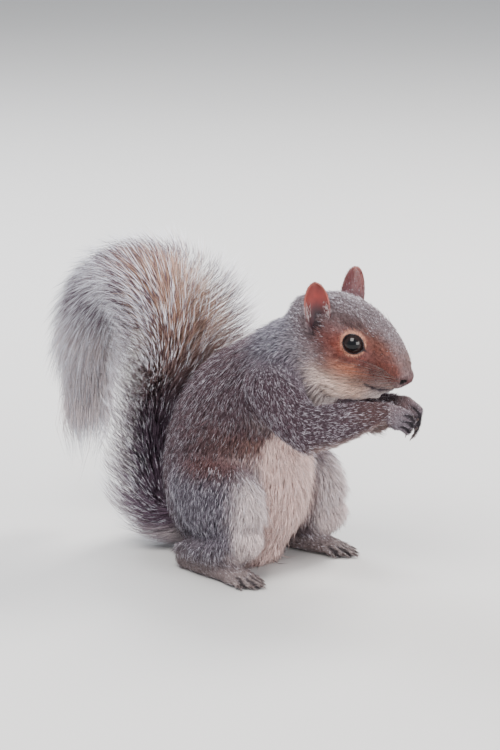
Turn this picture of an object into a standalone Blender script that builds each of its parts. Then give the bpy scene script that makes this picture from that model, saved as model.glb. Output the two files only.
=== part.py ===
"""A grey squirrel that sits up and holds both forepaws at its mouth, its tail laid up its back.

The animal faces +X, its left side is +Y, and it sits on the floor at Z = 0. It is modelled whole
and then parted with thin cuts. Each region of the body is a loft: oval rings along a smooth line,
whose sizes are read at a few stations. The lofts are joined by a voxel remesh and smoothed, as
flesh and coat run into each other, and the solids reach out to the tips of the coat.
Run it with: blender --background --python part.py
"""

import math

import bmesh
import bpy
import numpy as np
from mathutils import Matrix, Vector

MM = 0.001

# --- Driving dimensions, in millimetres -------------------------------------------------------
GAP = 0.35  # the clear space left by a cut between two neighbouring parts
NOSE_TIP = (108.6, 13.0, 115.5)
HEAD_PITCH = math.radians(31)  # how far the nose points down
HEAD_TURN = math.radians(13)  # the face is turned to the animal's left
EYE_RADIUS = 6.3
EYE_PLACE = (36.8, 10.7, -2.2)  # in the head's own frame: back, out, up from the nose tip
# The middle of each ear, in the head's own frame.
EAR_MIDDLE = {"right": (61.7, 19.8, 6.2), "left": (60.2, 19.8, 6.8)}
EAR_HALF = (7.0, 4.6, 13.4)  # half the ear's width, depth and height
# How far out from straight ahead each ear's opening looks. The left ear is turned back.
EAR_FACES = {"right": math.radians(58), "left": math.radians(90)}
EAR_SPREAD = math.radians(9)
EAR_SKIN = 1.1

VOXEL = 1.25
BODY_TRIANGLES = 3020
TAIL_VOXEL = 2.6
TAIL_TRIANGLES = 820

RING_POINTS = 20
COLUMN_SIDES = 12
RINGS_PER_SPAN = 4

# The oval columns that part the limbs from the trunk: half width, half depth.
FOREARM_CUT = (17, 19)
UPPER_ARM_CUT = (18, 20)
UPPER_ARM_ASIDE = 5  # how far outside the arm's own line its column stands
ELBOW_REACH = 16
THIGH_CUT = (37, 26)
THIGH_INNER = 21  # where the thighs' flat inner sides are
THIGH_HEIGHT = 45

# --- Stations: ahead, out to the side, up, half width, half depth ------------------------------
TRUNK = [
    (-6, 0, 13, 29, 31),
    (-5, 0, 29, 36, 39),
    (-3, 0, 49, 38.5, 42),
    (-1, 0, 69, 37, 40),
    (7, 0, 88, 33.5, 34),
    (22, 0, 102.5, 30, 28),
    (38, 0, 113.5, 26.5, 27.5),
    (51, 1.5, 125, 23.5, 24),
    (60, 3, 129, 20, 20),
]
# The head's own frame: back from the nose tip, out, up, half width, half height.
HEAD = [
    (5.0, 0, -4.0, 5.0, 4.8),
    (7.0, 0, -4.4, 7.2, 7.6),
    (11, 0, -4.6, 9.2, 11.0),
    (17, 0, -4.4, 10.8, 14.2),
    (25, 0, -3.8, 12.6, 17.6),
    (33, 0, -3.8, 14.2, 19.8),
    (42, 0, -4.8, 17.2, 20.6),
    (51, 0, -7.0, 19.4, 20.2),
    (60, 0, -10.6, 19.4, 18.8),
    (66, 0, -13.5, 17.5, 16.0),
]
CHEEK = [(20, 6.5, -12, 6.5, 7), (31, 9, -13.5, 9.5, 10.5), (44, 10, -14, 11, 12)]
THROAT = [(15, 0, -14.5, 6.5, 6.5), (24, 0, -19, 10.5, 11), (34, 0, -22, 14, 14),
          (48, 0, -23, 17, 17)]

UPPER_ARM = {
    "right": [(31, 15, 110, 15, 15), (42, 24, 105, 14, 15), (56, 30.5, 97, 12.5, 14),
              (69, 33.5, 89.5, 10.5, 11.5)],
    "left": [(29, 15, 109, 15, 15), (38, 24, 103, 14, 15), (48, 32, 93, 12.5, 14),
             (56, 36.5, 84.5, 10.5, 11.5)],
}
FOREARM = {
    "right": [(69, 33.6, 89.5, 11, 12.5), (81, 28.2, 92.5, 10, 12), (93, 21.4, 97, 8, 9.8),
              (102, 16.2, 100.3, 6, 7), (107.5, 13, 102, 4.6, 5.2)],
    "left": [(57, 36.6, 83.5, 10.5, 11.5), (67, 32, 86.5, 9.6, 10.8), (77, 26, 91.5, 7.6, 8.6),
             (86, 21, 95.5, 5.8, 6.4), (92, 17.5, 97.6, 4.4, 5.0)],
}
# The half width of a palm stands upright here, as each palm faces the other.
PALM = {
    "right": [(105, 14.2, 101.6, 4.8, 4.4), (109, 11.4, 100.2, 6.4, 3.9),
              (112.3, 8.6, 98.4, 7.2, 3.4)],
    "left": [(92.5, 17, 98, 4.8, 4.4), (99, 14.6, 98, 6.4, 3.9), (104.5, 13, 96.5, 7.0, 3.4)],
}
# The knuckles of the uppermost and the lowest finger, and the steps to middle joint, tip, claw.
FINGERS = {
    "right": ((111.6, 8.8, 103.2), (107.8, 8.6, 93.0), (5.2, -5.0, -2.2), (-0.6, -4.6, -3.6),
              (-2.2, -1.4, -2.6)),
    "left": ((105.8, 13.0, 100.8), (102.6, 13.2, 90.6), (7.2, -2.2, -2.6), (-0.2, -3.4, -5.0),
             (-2.0, -0.8, -2.6)),
}
PAW_REACH = 30  # a forepaw ends within this of the wrist
PAW_TOP = 107  # and below this, which is just under the chin
FINGER_COUNT = 4
FINGER_RADIUS = 1.95

THIGH = [
    (-20, 20, 42, 13, 21),
    (-7, 25, 45, 17, 26),
    (7, 29, 43, 18.5, 26),
    (19, 32.5, 39, 16.5, 23),
    (27, 34.5, 33, 13.5, 18),
]
SHANK = [(28, 35, 27, 13, 14), (19, 36, 19, 12, 12), (5, 35.5, 13, 10, 10), (-11, 33, 9, 8, 8)]
FOOT = [
    (-13, 33, 5.2, 6.0, 6.4),
    (1, 34.5, 5.6, 7.6, 7.2),
    (15, 36, 5.0, 8.2, 6.6),
    (27, 37.5, 4.0, 8.8, 5.4),
    (33, 38, 3.4, 8.8, 4.6),
]
TOE_COUNT = 5
TOE_RADIUS = 2.4

TAIL = [
    (-30, 0, 24, 14, 12),
    (-44, 0, 13.5, 26, 16),
    (-57, 0, 23, 36, 19),
    (-62, 0, 46, 42, 19),
    (-60, 0, 68, 45, 18),
    (-57, 0, 89, 48, 19),
    (-53, 0, 110, 53, 21),
    (-56, 0, 130, 54, 24),
    (-67, 0, 145, 47, 25),
    (-82, 0, 146, 41, 24),
    (-95, 0, 136, 38, 21),
    (-105, 0, 117, 36, 18),
    (-110, 0, 95, 32, 15),
    (-112, 0, 71, 18, 10),
]
# How far the hair at the sides of the tail sweeps towards the back and head.
TAIL_SWEEP = (0, 2, 4, 5, 7, 13, 25, 24, 11, 4, 2, 1, 0, 0)
# Where each length of the tail ends, counted in stations, and how far its cut reaches back.
TAIL_CUTS = (("tail_root", 2.5, 60), ("tail_rise", 6.0, 90), ("tail_bend", 9.5, 100))


def place(ahead, left, up):
    """A point in millimetres as a vector in metres."""
    return Vector((ahead, left, up)) * MM


def head_place(back, left, up):
    """A point given in the head's own frame, which pitches down and turns to the left."""
    level = back * math.cos(HEAD_PITCH) - up * math.sin(HEAD_PITCH)
    rise = back * math.sin(HEAD_PITCH) + up * math.cos(HEAD_PITCH)
    ahead = -level * math.cos(HEAD_TURN) - left * math.sin(HEAD_TURN)
    aside = -level * math.sin(HEAD_TURN) + left * math.cos(HEAD_TURN)
    return place(NOSE_TIP[0] + ahead, NOSE_TIP[1] + aside, NOSE_TIP[2] + rise)


# --- Lofts ------------------------------------------------------------------------------------
def smooth_rows(rows, per_span):
    """Rows of numbers read from a Catmull-Rom curve through the given rows."""
    rows = np.array(rows, float)
    padded = np.vstack([2 * rows[0] - rows[1], rows, 2 * rows[-1] - rows[-2]])
    made = []
    for i in range(len(rows) - 1):
        before, start, end, after = padded[i : i + 4]
        for step in range(per_span):
            t = step / per_span
            linear = (end - before) * t
            square = (2 * before - 5 * start + 4 * end - after) * t**2
            cube = (3 * start - before - 3 * end + after) * t**3
            made.append(0.5 * (2 * start + linear + square + cube))
    made.append(rows[-1])
    return np.array(made)


def tangents(centres):
    ahead = np.vstack([centres[1:], centres[-1:]])
    behind = np.vstack([centres[:1], centres[:-1]])
    along = ahead - behind
    return along / np.linalg.norm(along, axis=1)[:, None]


def round_cap(centre, outward, size, sweep):
    """The shrinking rings of a round end, from the last full ring outwards."""
    reach = 0.8 * min(size)
    made = []
    for angle in np.radians((28, 52, 72, 85)):
        middle = centre + outward * reach * math.sin(angle)
        made.append((middle, size * math.cos(angle), sweep * math.cos(angle)))
    return made


def add_loft(bm, stations, side=1, to_world=place, level=(0, 1, 0), sweep=None,
             grow=0.0, points=RING_POINTS, per_span=RINGS_PER_SPAN):
    """Adds one closed loft of oval rings to bm. level is the way of the half width, near enough."""
    rows = smooth_rows(stations, per_span)
    sweeps = np.zeros(len(rows))
    if sweep:
        sweeps = smooth_rows([(value,) for value in sweep], per_span)[:, 0] * MM
    centres = np.array([to_world(ahead, side * out, up) for ahead, out, up in rows[:, :3]])
    sizes = (rows[:, 3:5] + grow) * MM
    along = tangents(centres)
    line = list(zip(centres, sizes, sweeps))
    line = round_cap(centres[0], -along[0], sizes[0], sweeps[0])[::-1] + line
    line += round_cap(centres[-1], along[-1], sizes[-1], sweeps[-1])
    along = np.vstack([[along[0]] * 4, along, [along[-1]] * 4])
    rings = []
    for (centre, size, bow), way in zip(line, along):
        across = np.array(level, float) - np.dot(level, way) * way
        across /= np.linalg.norm(across)
        inner = np.cross(across, way)
        ring = []
        for turn in np.linspace(0, 2 * math.pi, points, endpoint=False):
            wide, deep = math.cos(turn), math.sin(turn)
            point = centre + across * size[0] * wide + inner * (size[1] * deep + bow * wide**2)
            ring.append(bm.verts.new(point))
        rings.append(ring)
    faces = []
    for near, far in zip(rings, rings[1:]):
        for k in range(points):
            n = (k + 1) % points
            faces.append(bm.faces.new((near[k], near[n], far[n], far[k])))
    faces.append(bm.faces.new(rings[0][::-1]))
    faces.append(bm.faces.new(rings[-1]))
    bmesh.ops.recalc_face_normals(bm, faces=faces)


def digit(base, joint, tip, claw, radius):
    """The stations of one finger or toe, narrowing to its claw."""
    shares = (1.0, 0.95, 0.75, 0.34)
    return [(*spot, radius * share, radius * share)
            for spot, share in zip((base, joint, tip, claw), shares)]


def finger_rows(word):
    """Four fingers one above the other, reaching ahead and curling in and down."""
    top, low, first, second, third = (np.array(v) for v in FINGERS[word])
    lengths = (0.85, 1.0, 0.98, 0.8)
    made = []
    for k in range(FINGER_COUNT):
        base = top + (low - top) * k / (FINGER_COUNT - 1)
        joint = base + first * lengths[k]
        tip = joint + second * lengths[k]
        made.append(digit(base, joint, tip, tip + third, FINGER_RADIUS))
    return made


def toe_rows():
    """Five toes spread fanwise on the ground, the middle three the longest."""
    made = []
    for k in range(TOE_COUNT):
        spread = 2 * k / (TOE_COUNT - 1) - 1  # -1 at the inner toe to 1 at the outer one
        reach = 13.5 - 5.0 * abs(spread) ** 1.5
        start = FOOT[-1][0] - 1 - 3.5 * abs(spread)
        base = (start - 3, 38.0 + 6.4 * spread, 2.6)
        joint = (start + 0.5 * reach, 38.6 + 8.0 * spread, 3.2)
        tip = (start + reach, 39.0 + 9.0 * spread, 1.6)
        claw = (start + reach + 3.6, 39.2 + 9.4 * spread, 0.8)
        made.append(digit(base, joint, tip, claw, TOE_RADIUS))
    return made


# --- Objects ----------------------------------------------------------------------------------
def clear_scene():
    for obj in list(bpy.data.objects):
        bpy.data.objects.remove(obj, do_unlink=True)


def collection(name, hidden=False):
    made = bpy.data.collections.new(name)
    bpy.context.scene.collection.children.link(made)
    made.hide_render = hidden
    return made


def material(name, colour, roughness):
    made = bpy.data.materials.new(name)
    made.use_nodes = True
    shader = made.node_tree.nodes["Principled BSDF"]
    shader.inputs["Base Color"].default_value = (*colour, 1)
    shader.inputs["Roughness"].default_value = roughness
    shader.inputs["Metallic"].default_value = 0.0
    return made


def object_from(bm, name):
    mesh = bpy.data.meshes.new(name)
    bm.to_mesh(mesh)
    bm.free()
    obj = bpy.data.objects.new(name, mesh)
    HELPERS.objects.link(obj)
    return obj


def copy_of(obj, name):
    made = bpy.data.objects.new(name, obj.data.copy())
    HELPERS.objects.link(made)
    return made


def apply_modifiers(obj):
    """Replaces the object's mesh by what its modifiers make of it."""
    bpy.context.view_layer.update()
    graph = bpy.context.evaluated_depsgraph_get()
    mesh = bpy.data.meshes.new_from_object(obj.evaluated_get(graph))
    obj.modifiers.clear()
    obj.data = mesh
    return obj


def joined(obj, voxel, rounds, triangles):
    """One smooth closed mesh of the shapes that overlap in obj."""
    remesh = obj.modifiers.new("join", "REMESH")
    remesh.mode = "VOXEL"
    remesh.voxel_size = voxel * MM
    smooth = obj.modifiers.new("smooth", "SMOOTH")
    smooth.factor = 0.5
    smooth.iterations = rounds
    apply_modifiers(obj)
    decimate = obj.modifiers.new("thin", "DECIMATE")
    decimate.ratio = triangles / (2 * len(obj.data.polygons))
    decimate.use_collapse_triangulate = True
    return apply_modifiers(obj)


def swollen(obj, by=GAP):
    """A copy whose surface stands out by that many millimetres."""
    made = copy_of(obj, obj.name + "_swollen")
    displace = made.modifiers.new("swell", "DISPLACE")
    displace.mid_level = 0.0
    displace.strength = by * MM
    return apply_modifiers(made)


def boolean(obj, cutter, operation):
    modifier = obj.modifiers.new("cut", "BOOLEAN")
    modifier.operation = operation
    modifier.solver = "EXACT"
    modifier.object = cutter
    return apply_modifiers(obj)


def shells_of(bm):
    """The separate closed pieces of a mesh, as lists of faces."""
    unseen, shells = set(bm.faces), []
    while unseen:
        todo, shell = [unseen.pop()], []
        while todo:
            face = todo.pop()
            shell.append(face)
            for edge in face.edges:
                for other in edge.link_faces:
                    if other in unseen:
                        unseen.discard(other)
                        todo.append(other)
        shells.append(shell)
    return shells


def keep_largest(obj):
    """Removes the crumbs that a cut can leave beside the one main body."""
    bm = bmesh.new()
    bm.from_mesh(obj.data)
    shells = shells_of(bm)
    shells.sort(key=lambda shell: sum(face.calc_area() for face in shell))
    for shell in shells[:-1]:
        bmesh.ops.delete(bm, geom=shell, context="FACES")
    bm.to_mesh(obj.data)
    bm.free()
    return obj


def take(rest, name, region, wider):
    """Parts what lies in the region from rest. wider is the same region with the gap added."""
    node = copy_of(rest, name)
    boolean(node, region, "INTERSECT")
    keep_largest(boolean(rest, wider, "DIFFERENCE"))
    return keep_largest(node)


def ellipsoid(name, centre, radii, turn=None, segments=24, rings=16):
    bm = bmesh.new()
    bmesh.ops.create_uvsphere(bm, u_segments=segments, v_segments=rings, radius=MM)
    shape = Matrix.Translation(centre) @ (turn or Matrix.Identity(4))
    bmesh.ops.transform(bm, matrix=shape @ Matrix.Diagonal((*radii, 1)), verts=bm.verts)
    return object_from(bm, name)


def block(name, centre, sides, ahead, grow=0.0):
    """A box whose sides are its length along ahead, its width and its height, in millimetres."""
    ahead = Vector(ahead).normalized()
    across = Vector((0, 0, 1)).cross(ahead).normalized()
    turn = Matrix((ahead, across, ahead.cross(across))).transposed().to_4x4()
    size = [(side + 2 * grow) * MM for side in sides]
    bm = bmesh.new()
    bmesh.ops.create_cube(bm, size=1.0)
    shape = Matrix.Translation(centre) @ turn @ Matrix.Diagonal((*size, 1))
    bmesh.ops.transform(bm, matrix=shape, verts=bm.verts)
    return object_from(bm, name)


def take_block(rest, name, centre, sides, ahead):
    region = block(name + "_region", centre, sides, ahead)
    wider = block(name + "_wider", centre, sides, ahead, GAP)
    return take(rest, name, region, wider)


def take_beyond(rest, name, start, ahead, length=160, breadth=260):
    """Parts all that lies beyond the plane through start that faces ahead."""
    ahead = Vector(ahead).normalized()
    centre = start + ahead * length / 2 * MM
    return take_block(rest, name, centre, (length, breadth, breadth), ahead)


def take_prism(rest, name, start, end, wide, deep):
    """Parts what lies in an oval column that runs from start to end."""
    line = end - start
    ahead = line.normalized()
    across = Vector((0, 0, 1)).cross(ahead).normalized()
    turn = Matrix((across, ahead.cross(across), ahead)).transposed().to_4x4()
    columns = []
    for grow in (0.0, GAP):
        bm = bmesh.new()
        bmesh.ops.create_cone(
            bm, cap_ends=True, segments=COLUMN_SIDES, radius1=MM, radius2=MM, depth=MM)
        size = (wide + grow, deep + grow, line.length / MM + 2 * grow)
        shape = Matrix.Translation((start + end) / 2) @ turn @ Matrix.Diagonal((*size, 1))
        bmesh.ops.transform(bm, matrix=shape, verts=bm.verts)
        columns.append(object_from(bm, name + "_region"))
    return take(rest, name, *columns)


# --- The animal -------------------------------------------------------------------------------
def flattened(obj):
    """Cuts off what reaches under the floor, so that the animal rests on flats at one level."""
    depth = 40.0
    floor = block("floor", place(0, 0, -depth / 2), (400, 400, depth), (1, 0, 0))
    return keep_largest(boolean(obj, floor, "DIFFERENCE"))


def whole_body():
    """Trunk, head, legs and feet in one mesh, sitting on small flats at floor level."""
    bm = bmesh.new()
    add_loft(bm, TRUNK)
    add_loft(bm, HEAD, to_world=head_place)
    add_loft(bm, THROAT, to_world=head_place)
    for word, side in SIDES.items():
        add_loft(bm, CHEEK, side, head_place)
        add_loft(bm, PALM[word], side, level=(0, 0, 1))
        for stations in (UPPER_ARM[word], FOREARM[word], THIGH, SHANK, FOOT):
            add_loft(bm, stations, side)
        for stations in finger_rows(word) + toe_rows():
            add_loft(bm, stations, side, points=12)
    return flattened(joined(object_from(bm, "whole_body"), VOXEL, 4, BODY_TRIANGLES))


def ear(word, side):
    """A cupped leaf of skin: an egg-shaped shell, hollowed from the side that it opens to."""
    back, out, up = EAR_MIDDLE[word]
    middle = head_place(back, side * out, up)
    turn = Matrix.Rotation(-side * EAR_SPREAD, 4, "X")
    turn = turn @ Matrix.Rotation(HEAD_TURN + side * EAR_FACES[word], 4, "Z")
    turn = turn @ Matrix.Rotation(math.pi / 2, 4, "Z")  # so that the depth lies along the opening
    opening = turn @ Vector((0, -1, 0))
    shell = ellipsoid("ear_" + word, middle, EAR_HALF, turn, 14, 10)
    half = (EAR_HALF[0] - EAR_SKIN, EAR_HALF[1], EAR_HALF[2] - EAR_SKIN)
    hollow = ellipsoid("ear_hollow_" + word, middle + opening * EAR_SKIN * MM, half, turn, 12, 9)
    return boolean(shell, hollow, "DIFFERENCE")


def part_arm(body, word, side):
    """Forepaw, forearm and upper arm of one side."""
    spots = UPPER_ARM[word][0], FOREARM[word][0], FOREARM[word][1], FOREARM[word][-1]
    shoulder, elbow, below, wrist = (place(row[0], side * row[1], row[2]) for row in spots)
    reach = (wrist - below).normalized()
    level = Vector((reach.x, reach.y, 0)).normalized()
    centre = wrist + level * PAW_REACH / 2 * MM
    centre.z = (PAW_TOP - PAW_REACH / 2) * MM
    paw, lower, upper = (part + word for part in ("forepaw_", "forearm_", "upper_arm_"))
    aside = place(0, side * UPPER_ARM_ASIDE, 0)
    past_elbow = elbow + (elbow - shoulder).normalized() * ELBOW_REACH * MM
    nodes = {paw: take_block(body, paw, centre, (PAW_REACH, 24, PAW_REACH), level)}
    nodes[lower] = take_prism(body, lower, elbow, wrist + reach * 2 * MM, *FOREARM_CUT)
    nodes[upper] = take_prism(body, upper, shoulder + aside, past_elbow + aside, *UPPER_ARM_CUT)
    return nodes


def part_leg(body, word, side):
    """Hind foot, thigh and shank of one side."""
    foot, thigh, shank = (part + word for part in ("hind_foot_", "thigh_", "shank_"))
    inner, outer = (place(THIGH[2][0], side * out, THIGH_HEIGHT) for out in (THIGH_INNER, 70))
    nodes = {foot: take_block(body, foot, place(17, side * 38, 0), (80, 36, 23), (1, 0, 0))}
    nodes[thigh] = take_prism(body, thigh, inner, outer, *THIGH_CUT)
    shank_centre = place(12, side * (THIGH_INNER + 20), 22)
    nodes[shank] = take_block(body, shank, shank_centre, (84, 40, 24), (1, 0, 0))
    return nodes


def part_head(body):
    """Eyes, head and neck, and the ears, which are trimmed to stand on the head."""
    nodes = {}
    for word, side in SIDES.items():
        centre = head_place(EYE_PLACE[0], side * EYE_PLACE[1], EYE_PLACE[2])
        opening = head_place(EYE_PLACE[0], side * (EYE_PLACE[1] + 5.5), EYE_PLACE[2])
        ball = ellipsoid("eye_" + word, centre, (EYE_RADIUS,) * 3, None, 14, 10)
        lids = ellipsoid("lids_" + word, opening, (EYE_RADIUS - 0.4,) * 3, None, 14, 10)
        boolean(body, lids, "DIFFERENCE")
        boolean(body, swollen(ball), "DIFFERENCE")
        nodes["eye_" + word] = ball
    head = take_beyond(body, "head", place(52, 1, 128), (0.85, 0.1, 0.5))
    nodes["head"] = head
    nodes["neck"] = take_beyond(body, "neck", place(34, 0, 114), (0.8, 0.0, 0.6))
    for word, side in SIDES.items():
        wing = boolean(ear(word, side), swollen(head), "DIFFERENCE")
        nodes["ear_" + word] = keep_largest(wing)
    return nodes


def part_body(body):
    """Every named part of the body, cut from the whole."""
    nodes = {}
    for word, side in SIDES.items():
        nodes.update(part_arm(body, word, side))
        nodes.update(part_leg(body, word, side))
    nodes.update(part_head(body))
    body.name = "trunk"
    nodes["trunk"] = keep_largest(body)
    return nodes


def part_tail(body):
    """The tail out to the tips of its hair, in lengths, lying close against the back."""
    bm = bmesh.new()
    add_loft(bm, TAIL, sweep=TAIL_SWEEP)
    tail = flattened(joined(object_from(bm, "tail"), TAIL_VOXEL, 4, TAIL_TRIANGLES))
    keep_largest(boolean(tail, swollen(body), "DIFFERENCE"))
    centres = np.array([place(*row[:3]) for row in smooth_rows(TAIL, RINGS_PER_SPAN)])
    along = tangents(centres)
    nodes = {}
    for name, station, length in TAIL_CUTS:
        i = round(station * RINGS_PER_SPAN)
        middle = Vector(centres[i] - along[i] * length / 2 * MM)
        nodes[name] = take_block(tail, name, middle, (length, 150, 76), along[i])
    tail.name = "tail_tip"
    nodes["tail_tip"] = keep_largest(tail)
    return nodes


def finished(nodes):
    """Names each part's object, gives it its material and stands the whole on the origin."""
    coat = material("grey_coat", (0.23, 0.19, 0.17), 0.9)
    plume = material("tail_coat", (0.27, 0.23, 0.21), 0.9)
    skin = material("bare_skin", (0.32, 0.15, 0.11), 0.6)
    glossy = material("dark_eye", (0.012, 0.009, 0.008), 0.05)
    worn = {"tail": plume, "ear": skin, "eye": glossy}
    points = np.array([v.co for obj in nodes.values() for v in obj.data.vertices])
    low, high = points.min(0), points.max(0)
    move = Matrix.Translation((-(low[0] + high[0]) / 2, -(low[1] + high[1]) / 2, -low[2]))
    for name, obj in nodes.items():
        HELPERS.objects.unlink(obj)
        PARTS.objects.link(obj)
        obj.name = name
        obj.data.name = name
        obj.data.transform(move)
        obj.data.materials.clear()
        obj.data.materials.append(worn.get(name.split("_")[0], coat))
    for obj in HELPERS.objects:
        obj.hide_render = True
        obj.display_type = "WIRE"
    return move.translation


SIDES = {"right": -1, "left": 1}
clear_scene()
PARTS = collection("grey_squirrel")
HELPERS = collection("helpers", hidden=True)
whole = whole_body()
tail_parts = part_tail(whole)
SHIFT = finished({**part_body(whole), **tail_parts})
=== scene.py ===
# %% [markdown]
# # A grey squirrel, sitting up to eat
# This script dresses the plain solids of a life-size grey squirrel. The solids give the
# outline out to the tips of the coat. Here one skin takes the place of the flesh, and the
# coat, the tail's long hair, the ears, eyes, claws and whiskers are modelled on it as meshes.
# The whole model is loaded first, so that every piece takes its place from the solids.

# %% Load the frame
import math

import bmesh
import bpy
import numpy as np
from mathutils import Matrix, Vector
from mathutils.bvhtree import BVHTree
from mathutils.kdtree import KDTree


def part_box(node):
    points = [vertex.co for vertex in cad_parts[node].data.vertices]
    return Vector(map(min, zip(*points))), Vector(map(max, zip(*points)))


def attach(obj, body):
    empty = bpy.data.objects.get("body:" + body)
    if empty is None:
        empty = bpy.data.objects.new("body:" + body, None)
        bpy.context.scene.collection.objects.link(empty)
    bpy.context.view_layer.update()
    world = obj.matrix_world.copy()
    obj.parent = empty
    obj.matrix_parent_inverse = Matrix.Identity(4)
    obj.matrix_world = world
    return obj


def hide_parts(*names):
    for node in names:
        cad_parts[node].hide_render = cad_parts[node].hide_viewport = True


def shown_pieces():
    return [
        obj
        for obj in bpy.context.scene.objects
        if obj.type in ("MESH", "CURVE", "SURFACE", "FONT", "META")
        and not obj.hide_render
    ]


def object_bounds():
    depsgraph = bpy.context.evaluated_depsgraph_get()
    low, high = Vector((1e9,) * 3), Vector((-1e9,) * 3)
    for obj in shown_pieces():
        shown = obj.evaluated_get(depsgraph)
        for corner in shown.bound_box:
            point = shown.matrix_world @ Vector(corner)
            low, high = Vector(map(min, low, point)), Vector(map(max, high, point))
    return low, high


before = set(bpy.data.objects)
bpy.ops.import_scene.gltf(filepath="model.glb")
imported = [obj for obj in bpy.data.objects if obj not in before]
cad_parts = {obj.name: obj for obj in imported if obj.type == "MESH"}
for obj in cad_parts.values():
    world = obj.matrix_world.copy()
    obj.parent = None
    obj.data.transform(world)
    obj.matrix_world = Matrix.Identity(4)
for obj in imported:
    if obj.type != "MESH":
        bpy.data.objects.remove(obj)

bpy.context.view_layer.update()
cad_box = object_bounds()
MM = 0.001
BODY = "root"
SIDES = {"right": -1, "left": 1}
print("the solids fill", [tuple(round(x / MM, 1) for x in corner) for corner in cad_box])

# %% [markdown]
# ## Two sets of axes
# Sizes are easiest to think of in millimetres and along the animal: ahead, to its left, and up.
# The head is turned and tipped down, so it has axes of its own, with zero at the nose tip.
# Both sets are found from the two eyes of the solid model, so they can't drift away from it.

# %% Places on the body and on the head
HEAD_PITCH = math.radians(31)
HEAD_TURN = math.radians(13)
EYE_PLACE = np.array([36.8, 10.7, -2.2])  # back from the nose tip, out to the side, up
NOSE_ON_BODY = np.array([108.6, 13.0, 115.5])  # the nose tip in the body's own millimetres

FORWARD = np.array([math.cos(HEAD_PITCH) * math.cos(HEAD_TURN),
                    math.cos(HEAD_PITCH) * math.sin(HEAD_TURN), -math.sin(HEAD_PITCH)])
LEFT = np.array([-math.sin(HEAD_TURN), math.cos(HEAD_TURN), 0.0])
UP = np.cross(FORWARD, LEFT)


def centre_of(node):
    low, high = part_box(node)
    return np.array((low + high) / 2)


def head_place(back, left, up):
    """A point of the head, from millimetres in the head's axes to metres in the frame."""
    return NOSE + (-back * FORWARD + left * LEFT + up * UP) * MM


def head_axes(points):
    """Frame points as millimetres back, left and up from the nose tip."""
    return (points - NOSE) @ np.array([-FORWARD, LEFT, UP]).T / MM


def body_place(ahead, left, up):
    return np.array([ahead, left, up]) * MM + SHIFT


def body_axes(points):
    return (points - SHIFT) / MM


eyes_middle = (centre_of("eye_right") + centre_of("eye_left")) / 2
NOSE = eyes_middle + (EYE_PLACE[0] * FORWARD - EYE_PLACE[2] * UP) * MM
SHIFT = NOSE - NOSE_ON_BODY * MM
print("nose tip at", (NOSE / MM).round(1), "mm, body axes shifted by", (SHIFT / MM).round(2))

# %% [markdown]
# ## Soft steps and spots
# Markings on fur have no edges. Every marking is built from two soft shapes: a ramp that
# eases from 0 to 1, and an egg-shaped spot that fades outwards.

# %% Ramps and spots
rng = np.random.default_rng(20)


def ease(value, start, end):
    share = np.clip((value - start) / (end - start), 0, 1)
    return share * share * (3 - 2 * share)


def spot(points, centre, radii):
    """1 in the middle of an egg-shaped spot, fading to 0 well outside it."""
    away = ((points - np.array(centre)) / np.array(radii)) ** 2
    return np.exp(-away.sum(axis=1))


def both_sides(points):
    """The same points with all of them folded onto the left side."""
    folded = points.copy()
    folded[:, 1] = np.abs(folded[:, 1])
    return folded


def unit(vectors):
    return vectors / np.maximum(np.linalg.norm(vectors, axis=1), 1e-12)[:, None]


# %% [markdown]
# ## Reading and writing meshes as arrays
# Blender hands a mesh's numbers over in one go. With them in arrays, thousands of points
# can be moved at once. An edge list is enough to smooth anything that is spread over the skin.

# %% Helpers for arrays
def read_rows(items, key, columns, kind=np.float32):
    flat = np.empty(len(items) * columns, kind)
    items.foreach_get(key, flat)
    return flat.reshape(-1, columns)


def points_of(mesh):
    return read_rows(mesh.vertices, "co", 3).astype(float)


def normals_of(mesh):
    return read_rows(mesh.vertex_normals, "vector", 3).astype(float)


def set_points(mesh, points):
    mesh.vertices.foreach_set("co", points.astype(np.float32).ravel())
    mesh.update()


def edges_of(mesh):
    return read_rows(mesh.edges, "vertices", 2, np.int32)


def neighbour_mean(values, edges, count):
    """For every point, the mean of a value over the points that edges join to it."""
    near, far = edges[:, 0], edges[:, 1]
    total = np.bincount(near, minlength=count) + np.bincount(far, minlength=count)
    columns = values.reshape(count, -1).T
    sums = [np.bincount(near, column[far], count) + np.bincount(far, column[near], count)
            for column in columns]
    return (np.array(sums) / np.maximum(total, 1)).T.reshape(values.shape)


def spread(values, edges, rounds):
    for _ in range(rounds):
        values = 0.5 * values + 0.5 * neighbour_mean(values, edges, len(values))
    return values


def relax(points, edges, amount, rounds):
    """Smooths a surface without shrinking it. amount is 0 to 1 for each point."""
    for _ in range(rounds):
        for push in (0.5, -0.52):
            step = neighbour_mean(points, edges, len(points)) - points
            points = points + step * (amount * push)[:, None]
    return points


def new_object(name, mesh):
    obj = bpy.data.objects.new(name, mesh)
    bpy.context.scene.collection.objects.link(obj)
    return obj


def baked(obj):
    """Replaces an object's mesh by what its modifiers make of it, and removes them."""
    bpy.context.view_layer.update()
    graph = bpy.context.evaluated_depsgraph_get()
    mesh = bpy.data.meshes.new_from_object(obj.evaluated_get(graph))
    obj.modifiers.clear()
    obj.data = mesh
    return obj


def add_value(mesh, name, values):
    """Stores one number or one colour for each point of a mesh, for its material to read."""
    if values.ndim == 1:
        layer = mesh.attributes.new(name, "FLOAT", "POINT")
        layer.data.foreach_set("value", values.astype(np.float32))
    else:
        layer = mesh.attributes.new(name, "FLOAT_COLOR", "POINT")
        rgba = np.hstack([values, np.ones((len(values), 1))])
        layer.data.foreach_set("color", rgba.astype(np.float32).ravel())


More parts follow.
